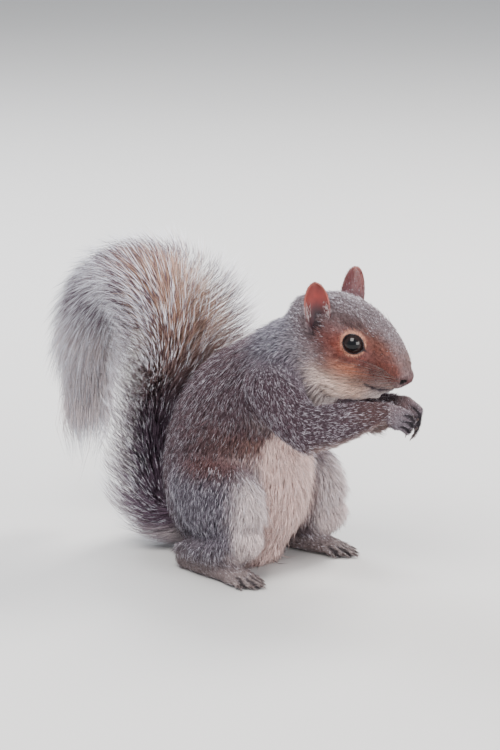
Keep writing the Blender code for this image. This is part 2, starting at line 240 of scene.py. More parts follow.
# %% [markdown]
# ## One skin over all the flesh
# A real skin has no seams, but the solids are parted by thin gaps. Copies of them are
# swollen a little so that they overlap, and a voxel remesh makes one closed surface of them.
# The eyeballs go in too, so that the skin swells over them before the lids are opened.

# %% Fuse the solids
SWELL = 0.3 * MM
SKIN_VOXEL = 1.3 * MM
SKIN_LOWEST = 0.35 * MM  # the skin stays this far above the floor
FLESH = sorted(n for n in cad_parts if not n.startswith(("eye_", "ear_", "tail_")))


def welded(node):
    """A closed copy of a solid's mesh, which arrives as loose triangles."""
    bm = bmesh.new()
    bm.from_mesh(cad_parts[node].data)
    bmesh.ops.remove_doubles(bm, verts=bm.verts, dist=1e-6)
    bm.normal_update()
    return bm


flesh_mesh = bpy.data.meshes.new("flesh")
flesh_bm = bmesh.new()
for node in FLESH + ["eye_right", "eye_left"]:
    part = welded(node)
    for vert in part.verts:
        vert.co += vert.normal * SWELL
    piece = bpy.data.meshes.new(node + "_copy")
    part.to_mesh(piece)
    part.free()
    flesh_bm.from_mesh(piece)
flesh_bm.to_mesh(flesh_mesh)
flesh_bm.free()

skin = new_object("skin", flesh_mesh)
remesh = skin.modifiers.new("fuse", "REMESH")
remesh.mode = "VOXEL"
remesh.voxel_size = SKIN_VOXEL
baked(skin)
print("the fused skin has", len(skin.data.polygons), "faces")

# %% [markdown]
# ## Finer faces where it counts
# The lids, nose and mouth need more points than the back does, so the faces near them are
# cut into quarters: once over the face, and twice more around the eyes and nose. The paws
# and toes are cut once, and the fingers below the face once more.

# %% Cut the face finer
def refine(mesh, chosen):
    """Cuts each face whose middle is chosen into four."""
    bm = bmesh.new()
    bm.from_mesh(mesh)
    middles = np.array([face.calc_center_median() for face in bm.faces])
    picked = chosen(middles)
    edges = {edge for face, yes in zip(bm.faces, picked) if yes for edge in face.edges}
    bmesh.ops.subdivide_edges(bm, edges=list(edges), cuts=1, use_grid_fill=True)
    bm.to_mesh(mesh)
    bm.free()


def near_face(middles):
    back, left, up = head_axes(middles).T
    return (back < 28) & (up > -23) & (up < 14)


PAWS_FROM, FINGERS_FROM = 103, 108  # how far ahead on the body


def near_paws(middles):
    ahead, _, up = body_axes(middles).T
    return (ahead > PAWS_FROM) & (up < 107) & (up > 80)


def fingers_below_the_face(middles):
    return near_paws(middles) & (body_axes(middles)[:, 0] > FINGERS_FROM) & ~near_face(middles)


def near_toes(middles):
    ahead, _, up = body_axes(middles).T
    return (ahead > 28) & (up < 8.5)


def near_eye_or_nose(middles):
    close = [np.linalg.norm(middles - centre_of("eye_" + word), axis=1) < 11 * MM
             for word in SIDES]
    return close[0] | close[1] | (np.linalg.norm(middles - NOSE, axis=1) < 9 * MM)


for chosen in (near_face, near_eye_or_nose, near_eye_or_nose, near_toes, near_paws,
               fingers_below_the_face):
    refine(skin.data, chosen)
print("with the finer face and digits it has", len(skin.data.polygons), "faces")

# %% [markdown]
# ## Regions of the coat
# Hair is short on the face and feet and long on the flanks, and it lies a different way on
# each limb. Every point of the skin is matched to the solid that it came from. Those labels
# are then spread over the skin, so that one region blends softly into the next.

# %% Match the skin to the regions
ZONES = ("head", "neck", "trunk", "upper_arm", "forearm", "forepaw", "thigh", "shank",
         "hind_foot")


def zone_of(node):
    return next(k for k, zone in enumerate(ZONES) if node.startswith(zone))


def zone_shares(points, edges):
    corners, triangles, labels = [], [], []
    for node in FLESH:
        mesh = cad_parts[node].data
        first = len(corners)
        corners += [tuple(p) for p in points_of(mesh)]
        triangles += [[first + k for k in face.vertices] for face in mesh.polygons]
        labels += [zone_of(node)] * len(mesh.polygons)
    tree = BVHTree.FromPolygons(corners, triangles)
    found = [labels[tree.find_nearest(Vector(point))[2]] for point in points]
    soft = spread(np.eye(len(ZONES))[found], edges, 14)
    softer = spread(soft, edges, 60)
    ahead, _, up = body_axes(points).T
    at_paws = (ease(ahead, 86, 94) * (up < 108))[:, None]  # the faces are finer there
    return soft * (1 - at_paws) + softer * at_paws


skin_edges = edges_of(skin.data)
skin_points = points_of(skin.data)
shares = zone_shares(skin_points, skin_edges)


def blended(**amounts):
    """One number for each point of the skin, from the number that each region has."""
    return shares @ np.array([amounts[zone] for zone in ZONES])


print("regions:", dict(zip(ZONES, (shares > 0.5).sum(axis=0).tolist())))

# %% [markdown]
# ## From the outline to the skin
# The solids reach the tips of the coat, so the skin is set back by as much as the coat is
# deep there: half a millimetre on the toes, about three on the thighs and belly. The facets
# of the solids are smoothed away first, strongly on the body and gently on the fingers.

# %% Smooth the skin and set it back
SMOOTHING = blended(head=0.8, neck=1, trunk=1, upper_arm=1, forearm=0.8, forepaw=0.3,
                    thigh=1, shank=0.8, hind_foot=0.4)
coat_depth = blended(head=1.4, neck=3.0, trunk=3.1, upper_arm=2.4, forearm=1.6, forepaw=0.4,
                     thigh=2.9, shank=2.0, hind_foot=0.7)
face_share = 1 - ease(head_axes(skin_points)[:, 0], 8, 42)
coat_depth = coat_depth * (1 - shares[:, 0] * face_share * 0.62)
throat_share = spot(both_sides(head_axes(skin_points)), (35, 8, -31), (15, 11, 8))
throat_share *= shares[:, 0] + shares[:, 1]
jaw_share = spot(both_sides(head_axes(skin_points)), (16, 4, -19), (10, 9, 7)) * shares[:, 0]
skin_points = relax(skin_points, skin_edges, SMOOTHING, 26)
set_points(skin.data, skin_points)
inward = spread(normals_of(skin.data), skin_edges, 4)
set_back = coat_depth * (1 - 0.75 * throat_share) * (1 - 0.9 * jaw_share) + 0.3 - 0.6 * jaw_share
skin_points = skin_points - unit(inward) * (set_back * MM)[:, None]
skin_points = relax(skin_points, skin_edges, SMOOTHING, 4)
skin_points[:, 2] = np.maximum(skin_points[:, 2], SKIN_LOWEST)
print("coat depth runs from", coat_depth.min().round(2), "to", coat_depth.max().round(2), "mm")

# %% [markdown]
# ## Eye sockets and lids
# A squirrel's eye is large, round and set well to the side, and most of its front shows. The
# lids are the skin round an almond-shaped opening: it hugs the ball there and stands a
# little proud of it. Points in the opening are sunk behind the ball, those around it lifted.

# %% Open the lids
EYE_RADIUS = 6.3 * MM
EYE_OUT, EYE_AHEAD, EYE_RISE = 0.90, 0.27, 0.24  # which way the middle of the eye looks
OPEN_LONG, OPEN_TALL = math.radians(62), math.radians(52)
CORNER_PULL = math.radians(5)  # how far the tear corner runs forward


class Eye:
    """The place and axes of one eye, and how wide its lids are open."""

    def __init__(self, word):
        self.centre = centre_of("eye_" + word)
        look = SIDES[word] * LEFT * EYE_OUT + FORWARD * EYE_AHEAD + UP * EYE_RISE
        self.look = look / np.linalg.norm(look)
        ahead = FORWARD - self.look * (FORWARD @ self.look)
        self.ahead = ahead / np.linalg.norm(ahead)
        self.rise = np.cross(self.look, self.ahead) * SIDES[word]
        self.rise *= np.sign(self.rise @ UP)

    def angles(self, points):
        """How far off the eye's middle each point is seen from its centre, and which way."""
        away = unit(points - self.centre)
        off = np.arccos(np.clip(away @ self.look, -1, 1))
        return off, np.arctan2(away @ self.rise, away @ self.ahead)

    def opening(self, way):
        """The lids' angle off the middle, for each way round. The front corner is pointed."""
        round_part = 1 / np.sqrt((np.cos(way) / OPEN_LONG) ** 2 + (np.sin(way) / OPEN_TALL) ** 2)
        corner = np.exp(-(((way - 0.02) / 0.24) ** 2))
        return round_part + CORNER_PULL * corner

    def on_ball(self, off, way, radius):
        ahead = self.ahead * math.cos(way) + self.rise * math.sin(way)
        return self.centre + (self.look * math.cos(off) + ahead * math.sin(off)) * radius


EYES = {word: Eye(word) for word in SIDES}
LID_THICKNESS = 0.55 * MM


def open_lids(points, eye):
    away = points - eye.centre
    reach = np.linalg.norm(away, axis=1)
    off, way = eye.angles(points)
    past_edge = off - eye.opening(way)
    near = 1 - ease(reach, 10 * MM, 13 * MM)
    lid = EYE_RADIUS + LID_THICKNESS * (0.5 + 0.5 * ease(past_edge, 0, 0.2))
    lifted = np.maximum(reach, lid)
    hug = (1 - ease(past_edge, 0.05, 0.5)) * 0.8
    target = lifted * (1 - hug) + lid * hug
    target = np.where(past_edge < 0, EYE_RADIUS - 1.2 * MM * ease(-past_edge, 0, 0.16), target)
    front = off < math.radians(115)
    share = np.where(front, near, 0)[:, None]
    return points * (1 - share) + (eye.centre + unit(away) * target[:, None]) * share


for eye in EYES.values():
    skin_points = open_lids(skin_points, eye)
eye_distance = np.min([eye.angles(skin_points)[0] - eye.opening(eye.angles(skin_points)[1])
                       + 4 * ease(np.linalg.norm(skin_points - eye.centre, axis=1),
                                  12 * MM, 20 * MM) for eye in EYES.values()], axis=0)
lid_reach = np.min([np.linalg.norm(skin_points - eye.centre, axis=1) / MM
                    for eye in EYES.values()], axis=0) - EYE_RADIUS / MM
print("lids opened over balls of", EYE_RADIUS / MM, "mm radius")

# %% [markdown]
# ## Nose and mouth
# The nose pad is small, with a comma-shaped nostril at each side and a groove below that
# runs down to the split lip. They are pressed into the skin like a thumb into clay: each
# dent is a soft spot that pushes the points near it inwards.

# %% Press in the nostrils and the mouth
NOSTRIL = [(3.6, 4.2, -5.2), (4.8, 5.0, -5.9), (4.9, 4.5, -7.2)]
PHILTRUM = [(1.4, 0, -6.5), (2.4, 0, -8.5), (3.6, 0, -10.5)]
MOUTH_LINE = [(4.6, 0.6, -11.6), (8.0, 3.0, -14.6), (12.0, 5.4, -16.8), (16.5, 8.4, -17.8),
              (20.0, 10.8, -17.0)]
LIP_PADS = [(6.5, 3.6, -9.6), (10.0, 5.6, -11.5), (13.0, 7.4, -13.0)]
CHIN = [(11.0, 0, -18.5), (16.0, 2.0, -21.0), (21.0, 5.0, -23.0)]


def along(path, steps):
    """Points evenly spaced, near enough, along straight runs between the given ones."""
    path = np.array(path, float)
    places = np.linspace(0, len(path) - 1, steps)
    return np.array([[np.interp(place, range(len(path)), column) for column in path.T]
                     for place in places])


def press(points, normals, where, radius, depth):
    """Pushes the skin in around head places, given on the left and mirrored to the right.

    Each place is first moved to the nearest point of the skin. A depth below 0 pushes out.
    """
    folded = both_sides(head_axes(points))
    where = [folded[((folded - place) ** 2).sum(axis=1).argmin()] for place in np.array(where)]
    mark = np.max([spot(folded, place, (radius,) * 3) for place in where], axis=0)
    return points - normals * (mark * depth * MM)[:, None], mark


set_points(skin.data, skin_points)
skin_normals = normals_of(skin.data)
skin_points, _ = press(skin_points, skin_normals, LIP_PADS, 3.4, -1.1)
skin_points, _ = press(skin_points, skin_normals, CHIN, 4.6, -1.7)
set_points(skin.data, skin_points)
skin_normals = normals_of(skin.data)
skin_points, nostril_mark = press(skin_points, skin_normals, along(NOSTRIL, 8), 1.25, 1.7)
skin_points, _ = press(skin_points, skin_normals, along(PHILTRUM, 8), 0.6, 0.45)
skin_points, mouth_mark = press(skin_points, skin_normals, along(MOUTH_LINE, 30), 1.2, 1.5)
skin_points = relax(skin_points, skin_edges, np.where(nostril_mark + mouth_mark > 0.05, 0.5, 0), 1)
set_points(skin.data, skin_points)
skin_normals = normals_of(skin.data)
print("nostrils, groove and mouth pressed in")

# %% [markdown]
# ## Fingers and toes
# Four fingers hold the food and five toes spread on the ground, close together. A furrow is
# pressed in wherever two digits meet. It is a soft sheet that stands across the row of
# digits, so that it shows on both faces of the paw. The same lines place the claws later on.

# %% Part the fingers and the toes
# The knuckles of the uppermost and the lowest finger, then the steps to joint, tip and claw.
FINGERS = {
    "right": ((111.6, 8.8, 103.2), (107.8, 8.6, 93.0), (5.2, -5.0, -2.2), (-0.6, -4.6, -3.6),
              (-2.2, -1.4, -2.6)),
    "left": ((105.8, 13.0, 100.8), (102.6, 13.2, 90.6), (7.2, -2.2, -2.6), (-0.2, -3.4, -5.0),
             (-2.0, -0.8, -2.6)),
}
FINGER_LENGTHS = (0.85, 1.0, 0.98, 0.8)
FOOT_FRONT = 33
TOE_COUNT = 5
FINGER_FURROW, TOE_FURROW = (0.55, 1.25), (0.6, 0.9)  # how wide and how deep


def finger_line(word, k):
    """The knuckle, joint and tip of one finger, on the body's axes."""
    top, low, first, second, _ = (np.array(v) * (1, SIDES[word], 1) for v in FINGERS[word])
    knuckle = top + (low - top) * k / (len(FINGER_LENGTHS) - 1)
    joint = knuckle + first * FINGER_LENGTHS[k]
    return np.array([knuckle - 0.35 * first, joint, joint + second * FINGER_LENGTHS[k]])


def toe_line(word, k):
    """The base, joint and tip of one toe, from the inner one to the outer one."""
    fan = 2 * k / (TOE_COUNT - 1) - 1
    reach = 13.5 - 5.0 * abs(fan) ** 1.5
    start = FOOT_FRONT - 1 - 3.5 * abs(fan)
    line = [(start - 3, 38.0 + 6.4 * fan, 2.6), (start + reach / 2, 38.6 + 8.0 * fan, 3.2),
            (start + reach, 39.0 + 9.0 * fan, 1.6)]
    return np.array(line) * (1, SIDES[word], 1)


def part_digits(points, lines, size, tall):
    """Presses a furrow between each line and the next, and tells where the furrows are."""
    here, mark = body_axes(points), np.zeros(len(points))
    wide, deep = size
    inwards = np.zeros_like(points)
    for line, following in zip(lines, lines[1:]):
        across = unit((following - line).mean(axis=0)[None])[0]
        for place in along((line + following) / 2, 14):
            away = here - place
            aside = away @ across
            rest = np.linalg.norm(away - aside[:, None] * across, axis=1)
            found = np.exp(-((aside / wide) ** 2) - (rest / tall) ** 4)
            closer = found > mark
            mark[closer] = found[closer]
            inwards[closer] = -(away - aside[:, None] * across)[closer]
    return points + unit(inwards) * (mark * deep * MM)[:, None], mark


digit_mark = np.zeros(len(skin_points))
for word in SIDES:
    fingers = [finger_line(word, k) for k in range(len(FINGER_LENGTHS))]
    toes = [toe_line(word, k) for k in range(TOE_COUNT)]
    for lines, size, tall in ((fingers, FINGER_FURROW, 3.0), (toes, TOE_FURROW, 3.4)):
        skin_points, mark = part_digits(skin_points, lines, size, tall)
        digit_mark = np.maximum(digit_mark, mark)
skin_points[:, 2] = np.maximum(skin_points[:, 2], SKIN_LOWEST)
set_points(skin.data, skin_points)
skin_normals = normals_of(skin.data)
print("furrows touch", int((digit_mark > 0.3).sum()), "points")

# %% [markdown]
# ## Markings
# The same markings are used for the skin and for the hairs that root in it, so a gap in the
# coat never shows a wrong colour. Each region has a ground colour, and soft spots lay the
# others over it: the tawny face, buff eye ring, cream throat and belly, rufous flank and wrist.
# Two more numbers say how many hairs have a pale tip (frost) and how dark their bands are (dusk).

# %% Paint the markings
def tone(red, green, blue):
    """A colour as it is named on a screen, from 0 to 255, as the light it stands for."""
    share = np.array([red, green, blue]) / 255
    return np.where(share < 0.04045, share / 12.92, ((share + 0.055) / 1.055) ** 2.4)


GROUND = {
    "head": tone(142, 129, 134), "neck": tone(168, 166, 180), "trunk": tone(124, 103, 111),
    "upper_arm": tone(108, 87, 98), "forearm": tone(100, 82, 92), "forepaw": tone(116, 101, 109),
    "thigh": tone(128, 121, 134), "shank": tone(128, 119, 128), "hind_foot": tone(148, 132, 132),
}
# Places on the head are back, out and up from the nose tip, then the spot's reach each way.
HEAD_MARKS = [
    ("brow_side", (26, 11, 4), (17, 5.5, 5), tone(124, 80, 68), 0.9),
    ("tawny_side", (33, 18, -5), (22, 10.5, 9.5), tone(126, 62, 52), 1.0),
    ("brow_back", (43.5, 15, 5.4), (4.5, 4, 1.9), tone(66, 48, 50), 0.8),
    ("brow", (37.5, 13.4, 7), (5, 4, 1.9), tone(66, 48, 50), 0.8),
    ("snout_side", (14, 9, -4), (12, 7, 8), tone(112, 62, 54), 0.95),
    ("snout_top", (11, 0, 3), (13, 5, 4.5), tone(128, 100, 96), 0.75),
    ("jaw_side", (30, 15, -21), (11, 9, 5.5), tone(196, 132, 112), 0.9),
    ("cheek", (28.5, 17, -13.8), (10, 8, 4.4), tone(192, 122, 96), 0.95),
    # The three under-eye spots are painted shade below the eye, a dark red-brown.
    ("under_eye_back", (36.5, 19, -10.4), (4.5, 4, 2.1), tone(80, 34, 32), 0.95),
    ("under_eye", (31.5, 17.5, -8.7), (4.5, 4.5, 2), tone(80, 34, 32), 0.95),
    ("under_eye_front", (26.5, 14, -6.4), (4, 4.5, 1.9), tone(86, 38, 36), 0.85),
    ("streak_low", (23.5, 14.5, -16), (3.4, 5, 3.2), tone(80, 36, 36), 0.95),
    ("streak_high", (19.5, 12, -9.5), (3, 5, 3.6), tone(92, 42, 38), 0.8),
    ("jaw", (27, 11, -24), (12, 9, 7), tone(250, 210, 190), 1.0),
    ("throat", (39, 8, -31), (17, 15, 8.5), tone(255, 234, 224), 1.0),
    ("chin", (14, 1, -22), (8, 7, 4), tone(226, 212, 210), 0.9),
    ("lip", (9.5, 6, -12.5), (6, 5, 2.4), tone(176, 146, 138), 0.75),
    ("nose", (2.0, 0, -4.4), (4.4, 5.6, 5.2), tone(80, 52, 54), 1.0),
]
EAR_HOLE = (57, 18.5, -5)
# Places on the body are ahead, out and up.
BODY_MARKS = [
    ("flank", (16, 36, 75), (24, 14, 12), tone(122, 88, 82), 0.6),
    ("flank_band", (8, 40, 63), (26, 14, 5.4), tone(128, 82, 74), 0.6),
    ("under_arm", (34, 22, 74), (18, 14, 6), tone(150, 112, 100), 0.7),
    # The groin spot is painted shade in the crease between thigh and belly.
    ("groin", (38, 34, 46), (4, 5, 9), tone(128, 92, 90), 0.6),
    ("rump", (-32, 0, 60), (12, 26, 50), tone(104, 88, 92), 0.6),
    ("wrist", (101, 19, 101), (13, 10, 9), tone(116, 84, 78), 0.6),
    ("fingers", (114, 9, 94), (9, 11, 9), tone(112, 104, 114), 0.7),
    ("toes", (42, 40, 3), (11, 14, 6), tone(168, 156, 154), 0.6),
]


def laid(ground, colour, share):
    return ground * (1 - share[:, None]) + np.array(colour) * share[:, None]


def ragged(points, reach, pitch):
    """Moves points about in soft waves, so that the markings' edges come out uneven."""
    x, y, z = (points * (2 * math.pi / pitch)).T
    waves = [np.sin(y + 1.7 * np.sin(0.6 * z)), np.sin(z + 1.3 * np.sin(0.7 * x)),
             np.sin(x + y + 1.5 * np.sin(0.8 * z))]
    return points + reach * np.array(waves).T


on_head = both_sides(ragged(head_axes(skin_points), 0.7, 5))
on_body = both_sides(ragged(body_axes(skin_points), 1.3, 8))
ahead_facing, down_facing = skin_normals[:, 0], -skin_normals[:, 2]
inward_facing = -skin_normals[:, 1] * np.sign(body_axes(skin_points)[:, 1])
height = on_body[:, 2]
zone_share = {zone: shares[:, k] for k, zone in enumerate(ZONES)}
head_share, trunk_share = zone_share["head"], zone_share["trunk"]

belly_top = 64 + 22 * (1 - ease(on_body[:, 1], 8, 20))
belly = ease(ahead_facing, 0.0, 0.45) * (1 - ease(height, belly_top, belly_top + 9))
belly *= trunk_share + 0.2 * zone_share["shank"]
belly *= ease(on_body[:, 0], 8, 22)
chest = ease(down_facing + 0.4 * ahead_facing, 0.25, 0.8) * ease(height, 80, 92) \
    * (zone_share["neck"] + trunk_share)
thigh_front = ease(np.maximum(ahead_facing, 0.8 * inward_facing), -0.05, 0.45) \
    * ease(on_body[:, 0], 20, 34) * (zone_share["thigh"] + zone_share["shank"])
arm_under = ease(down_facing, 0.3, 0.95) \
    * (zone_share["forearm"] + 0.5 * zone_share["upper_arm"])
eye_ring = (1 - ease(eye_distance, 0.14, 0.34)) * (1 - ease(lid_reach, 0.7, 1.7)) * head_share
lid_edge = 1 - ease(eye_distance, 0.01, 0.05)

hue = spread(shares, skin_edges, 110) @ np.array([GROUND[zone] for zone in ZONES])
frost = blended(head=0.66, neck=0.62, trunk=0.6, upper_arm=0.6, forearm=0.56, forepaw=0.66,
                thigh=0.7, shank=0.62, hind_foot=0.5)
dusk = blended(head=0.95, neck=1, trunk=1, upper_arm=1, forearm=0.95, forepaw=0.85,
               thigh=0.95, shank=0.9, hind_foot=0.6)
for name, centre, radii, colour, strength in HEAD_MARKS:
    share = np.clip(1.25 * spot(on_head, centre, radii), 0, 1) * strength * head_share
    hue = laid(hue, colour, share)
    frost = frost * (1 - 0.92 * share)
    dusk = dusk * (1 - (0.2 + 0.85 * colour.mean()) * share)
for name, centre, radii, colour, strength in BODY_MARKS:
    share = np.clip(1.25 * spot(on_body, centre, radii), 0, 1) * strength * (1 - head_share)
    hue = laid(hue, colour, share)
    frost = frost * (1 - 0.35 * share)
for share, colour in ((arm_under * 0.6, tone(184, 160, 150)), (chest * 0.7, tone(208, 192, 186)),
                      (thigh_front * 0.85, tone(236, 222, 222)), (belly, tone(250, 222, 216)),
                      (0.9 * eye_ring, tone(200, 142, 120))):
    share = np.clip(share, 0, 1)
    hue = laid(hue, colour, share)
    frost = frost * (1 - 0.6 * share)
    dusk = dusk * (1 - 0.75 * share)
bare = np.clip(1.7 * spot(on_head, (1.6, 0, -4.0), (3.4, 4.6, 4.0)) - 0.3, 0, 1)
ear_hole = np.clip(2 * spot(on_head, EAR_HOLE, (4.5, 5, 6.5)) - 0.3, 0, 1)
bare = np.max([bare, lid_edge, ease(mouth_mark, 0.2, 0.5), ear_hole], axis=0)
# The ear opening is painted near black: painted shade inside the ear, as the skin has no hole
# there.
hue = laid(hue, tone(34, 22, 28), ear_hole)
hue = laid(hue, tone(46, 33, 36), lid_edge)
# The mouth line is dark bare lip, with painted shade in its crease.
hue = laid(hue, tone(38, 30, 40), ease(mouth_mark, 0.12, 0.45) * 0.95)
# The nostrils are painted nearly black as painted shade inside them.
hue = laid(hue, tone(24, 14, 16), ease(nostril_mark, 0.25, 0.55))
# The furrows between the digits are painted dark, with fewer pale tips: painted shade between
# fingers and toes.
hue = laid(hue, tone(40, 34, 42), ease(digit_mark, 0.2, 0.7) * 0.9)
frost = frost * (1 - 0.8 * ease(digit_mark, 0.25, 0.8))
print("painted", len(HEAD_MARKS) + len(BODY_MARKS) + 5, "markings")

# %% [markdown]
# ## The lie of the coat
# Hair points away from the nose, down the neck and flanks, and along each limb towards its
# toes. Each region has one heading. It is pressed flat onto the skin and smoothed, as the
# coat itself never changes its lie at a line.

# %% Comb the coat
def headings(points):
    side = np.sign(body_axes(points)[:, 1])
    away_from_nose = unit(points - (NOSE + FORWARD * 7 * MM))
    by_zone = {
        "neck": (-0.75, 0.1, -0.65), "trunk": (-0.22, 0.12, -0.95),
        "upper_arm": (0.72, 0.3, -0.62), "forearm": (0.83, -0.42, 0.2),
        "forepaw": (0.8, -0.2, -0.5), "thigh": (0.12, 0.15, -0.97),
        "shank": (0.35, 0.1, -0.9), "hind_foot": (0.98, 0.05, -0.1),
    }
    total = away_from_nose * shares[:, :1]
    for k, zone in enumerate(ZONES[1:], 1):
        ahead, out, up = by_zone[zone]
        way = np.stack([np.full(len(side), ahead), out * side, np.full(len(side), up)], axis=1)
        total = total + way * shares[:, k : k + 1]
    return total


def flat_on(ways, normals):
    return unit(ways - normals * (ways * normals).sum(axis=1)[:, None])


lie = headings(skin_points)
belly_way = np.stack([0.1 * np.ones(len(lie)), 0.25 * np.sign(body_axes(skin_points)[:, 1]),
                      -np.ones(len(lie))], axis=1)
lie = lie * (1 - belly[:, None]) + belly_way * belly[:, None]
for eye in EYES.values():
    from_eye = unit(skin_points - eye.centre)
    close = 1 - ease(np.linalg.norm(skin_points - eye.centre, axis=1), 7 * MM, 12 * MM)
    lie = lie * (1 - 0.75 * close[:, None]) + (from_eye + 0.5 * lie) * (0.75 * close[:, None])
lie = flat_on(spread(flat_on(lie, skin_normals), skin_edges, 10), skin_normals)

length = blended(head=4.8, neck=9.5, trunk=10, upper_arm=8, forearm=5.6, forepaw=1.9,
                 thigh=10, shank=7.5, hind_foot=3.2)
length = length * (1 - 0.72 * face_share * head_share) * (1 + 0.15 * belly) + 4 * throat_share
length = length * (0.35 + 0.65 * ease(eye_distance, 0.05, 0.7))
coat_depth = coat_depth * (0.4 + 0.6 * ease(eye_distance, 0.05, 0.7)) + 1.8 * throat_share
width = blended(head=0.3, neck=0.4, trunk=0.4, upper_arm=0.33, forearm=0.28, forepaw=0.22,
                thigh=0.44, shank=0.42, hind_foot=0.32) * (1 - 0.3 * face_share * head_share)
density = blended(head=3.2, neck=1.7, trunk=1.34, upper_arm=2.2, forearm=2.9, forepaw=3.6,
                  thigh=1.3, shank=1.4, hind_foot=1.7)
print("hair length", length.min().round(1), "to", length.max().round(1), "mm")

# %% [markdown]
# ## An unwrap to colour by
# When the model is exported, its colours are painted onto flat maps. Each hair gets its own
# little patch of the map at the place where it roots, so neighbours on the skin are
# neighbours on the map. That takes an unwrap of the skin's own shape, cut into islands.

# %% Unwrap the skin
def unwrap(obj, limit=66):
    for other in bpy.context.selected_objects:
        other.select_set(False)
    bpy.context.view_layer.objects.active = obj
    obj.select_set(True)
    obj.data.uv_layers.new(name="OFBake")
    bpy.ops.object.mode_set(mode="EDIT")
    bpy.ops.mesh.select_all(action="SELECT")
    bpy.ops.uv.smart_project(angle_limit=math.radians(limit), island_margin=0.002)
    bpy.ops.object.mode_set(mode="OBJECT")
    obj.select_set(False)


unwrap(skin)
for name, values in (("hue", hue), ("frost", frost), ("dusk", dusk), ("bare", bare),
                     ("length", length)):
    add_value(skin.data, name, values)
skin.data.shade_smooth()
print("unwrapped", len(skin.data.polygons), "faces")

# %% [markdown]
# ## Where the hairs root
# Roots are spread evenly over the skin, more of them where the hair is short. Everything a
# hair needs to know is read off the skin at its root: its lie, length, colour and place on
# the map.

# %% Scatter the roots
def triangles_of(mesh):
    """The corners of a mesh's triangles, as points and as corners of its faces."""
    mesh.calc_loop_triangles()
    return [read_rows(mesh.loop_triangles, key, 3, np.int32) for key in ("vertices", "loops")]


def map_places(mesh):
    return read_rows(mesh.uv_layers["OFBake"].data, "uv", 2)


def scatter(mesh, per_square_mm, values):
    """Even random places on a mesh, with each of the values read off there."""
    corners, loops = triangles_of(mesh)
    points = points_of(mesh)
    a, b, c = (points[corners[:, k]] for k in range(3))
    areas = np.linalg.norm(np.cross(b - a, c - a), axis=1) / 2 / MM**2
    wanted = areas * per_square_mm[corners].mean(axis=1)
    count = int(wanted.sum())
    steps = (np.arange(count) + rng.random(count)) / count * wanted.sum()
    chosen = np.searchsorted(np.cumsum(wanted), steps).clip(0, len(wanted) - 1)
    first, second = rng.random(count), rng.random(count)
    fold = first + second > 1
    first[fold], second[fold] = 1 - first[fold], 1 - second[fold]
    weights = np.stack([1 - first - second, first, second], axis=1)
    read = {name: np.einsum("ij,ij...->i...", weights, numbers[corners[chosen]])
            for name, numbers in values.items()}
    read["map"] = np.einsum("ij,ijk->ik", weights, map_places(mesh)[loops[chosen]])
    read["normal"] = unit(read["normal"])
    read["lie"] = flat_on(read["lie"], read["normal"])
    return read


on_floor = (skin_normals[:, 2] < -0.8) & (skin_points[:, 2] < 1.5 * MM)
furred = density * (1 - ease(bare, 0.35, 0.6)) * (eye_distance > 0.03) * ~on_floor
roots = scatter(skin.data, furred, {
    "place": skin_points, "normal": skin_normals, "lie": lie, "length": length,
    "width": width, "depth": coat_depth, "hue": hue, "frost": frost, "dusk": dusk,
    "shares": shares})
roots["zone"] = roots["shares"].argmax(axis=1)
print("roots:", len(roots["length"]))

# %% [markdown]
# ## One hair, many times
# A hair here stands for a small lock: a closed, three-sided needle that leaves the skin at a
# slant, bends over to lie along it and ends in a point. All of them are made together as
# arrays and joined into a few meshes, which cost far less than thousands of objects.
# Hairs near each other lean towards one point, and this gives the coat its ticked look.

# %% Needles
PATCH = 0.003  # how wide each hair's place on the map is
HAIR_LOWEST, TAIL_LOWEST = 0.15 * MM, 0.2 * MM  # hairs stay this far above the floor
GUARD_HAIRS = 0.07  # the share of hairs that are longer and stand higher


def needle_mesh(name, rings, acrosses, risings, widths, values, places_on_map):
    """Closed three-sided needles. rings is the list of their ring middles, the last the tips."""
    count, full = len(widths), len(rings) - 1
    profile = (1.0, 0.95, 0.7, 0.45)[:full] if full > 2 else (1.0, 0.8)
    per = 3 * full + 1
    verts = np.empty((count, per, 3))
    tall = 0.6
    for k in range(full):
        for j, turn in enumerate((math.pi / 2, math.pi * 7 / 6, math.pi * 11 / 6)):
            half = widths[:, None] * profile[k] / 2
            offset = acrosses * math.cos(turn) * half + risings * math.sin(turn) * half * tall
            verts[:, 3 * k + j] = rings[k] + offset
    verts[:, -1] = rings[-1]
    one = [(0, 2, 1)]
    for k in range(full - 1):
        for j in range(3):
            n = (j + 1) % 3
            low, high = 3 * k, 3 * k + 3
            one += [(low + j, low + n, high + n), (low + j, high + n, high + j)]
    one += [(3 * full - 3 + j, 3 * full - 3 + (j + 1) % 3, per - 1) for j in range(3)]
    one = np.array(one)
    faces = (one[None] + (np.arange(count) * per)[:, None, None]).reshape(-1, 3)
    mesh = bpy.data.meshes.new(name)
    mesh.vertices.add(count * per)
    mesh.vertices.foreach_set("co", verts.astype(np.float32).ravel())
    mesh.loops.add(faces.size)
    mesh.loops.foreach_set("vertex_index", faces.astype(np.int32).ravel())
    mesh.polygons.add(len(faces))
    mesh.polygons.foreach_set("loop_start", np.arange(0, faces.size, 3, dtype=np.int32))
    mesh.polygons.foreach_set("use_smooth", np.ones(len(faces), bool))
    mesh.update(calc_edges=True)
    reach = np.repeat(np.append(np.linspace(0, 1, full + 1)[:-1], 1.0), [3] * full + [1])
    add_value(mesh, "reach", np.tile(reach, count))
    for key, numbers in values.items():
        add_value(mesh, key, np.repeat(numbers, per, axis=0))
    turns = np.append(np.tile([0.0, 0.5, 1.0], full), 0.5)
    patch = np.stack([turns - 0.5, reach - 0.5], axis=1) * PATCH
    spread_out = (places_on_map[:, None, :] + patch[None]).reshape(-1, 2)
    layer = mesh.uv_layers.new(name="OFBake")
    layer.data.foreach_set("uv", spread_out[faces.ravel()].astype(np.float32).ravel())
    return new_object(name, mesh)


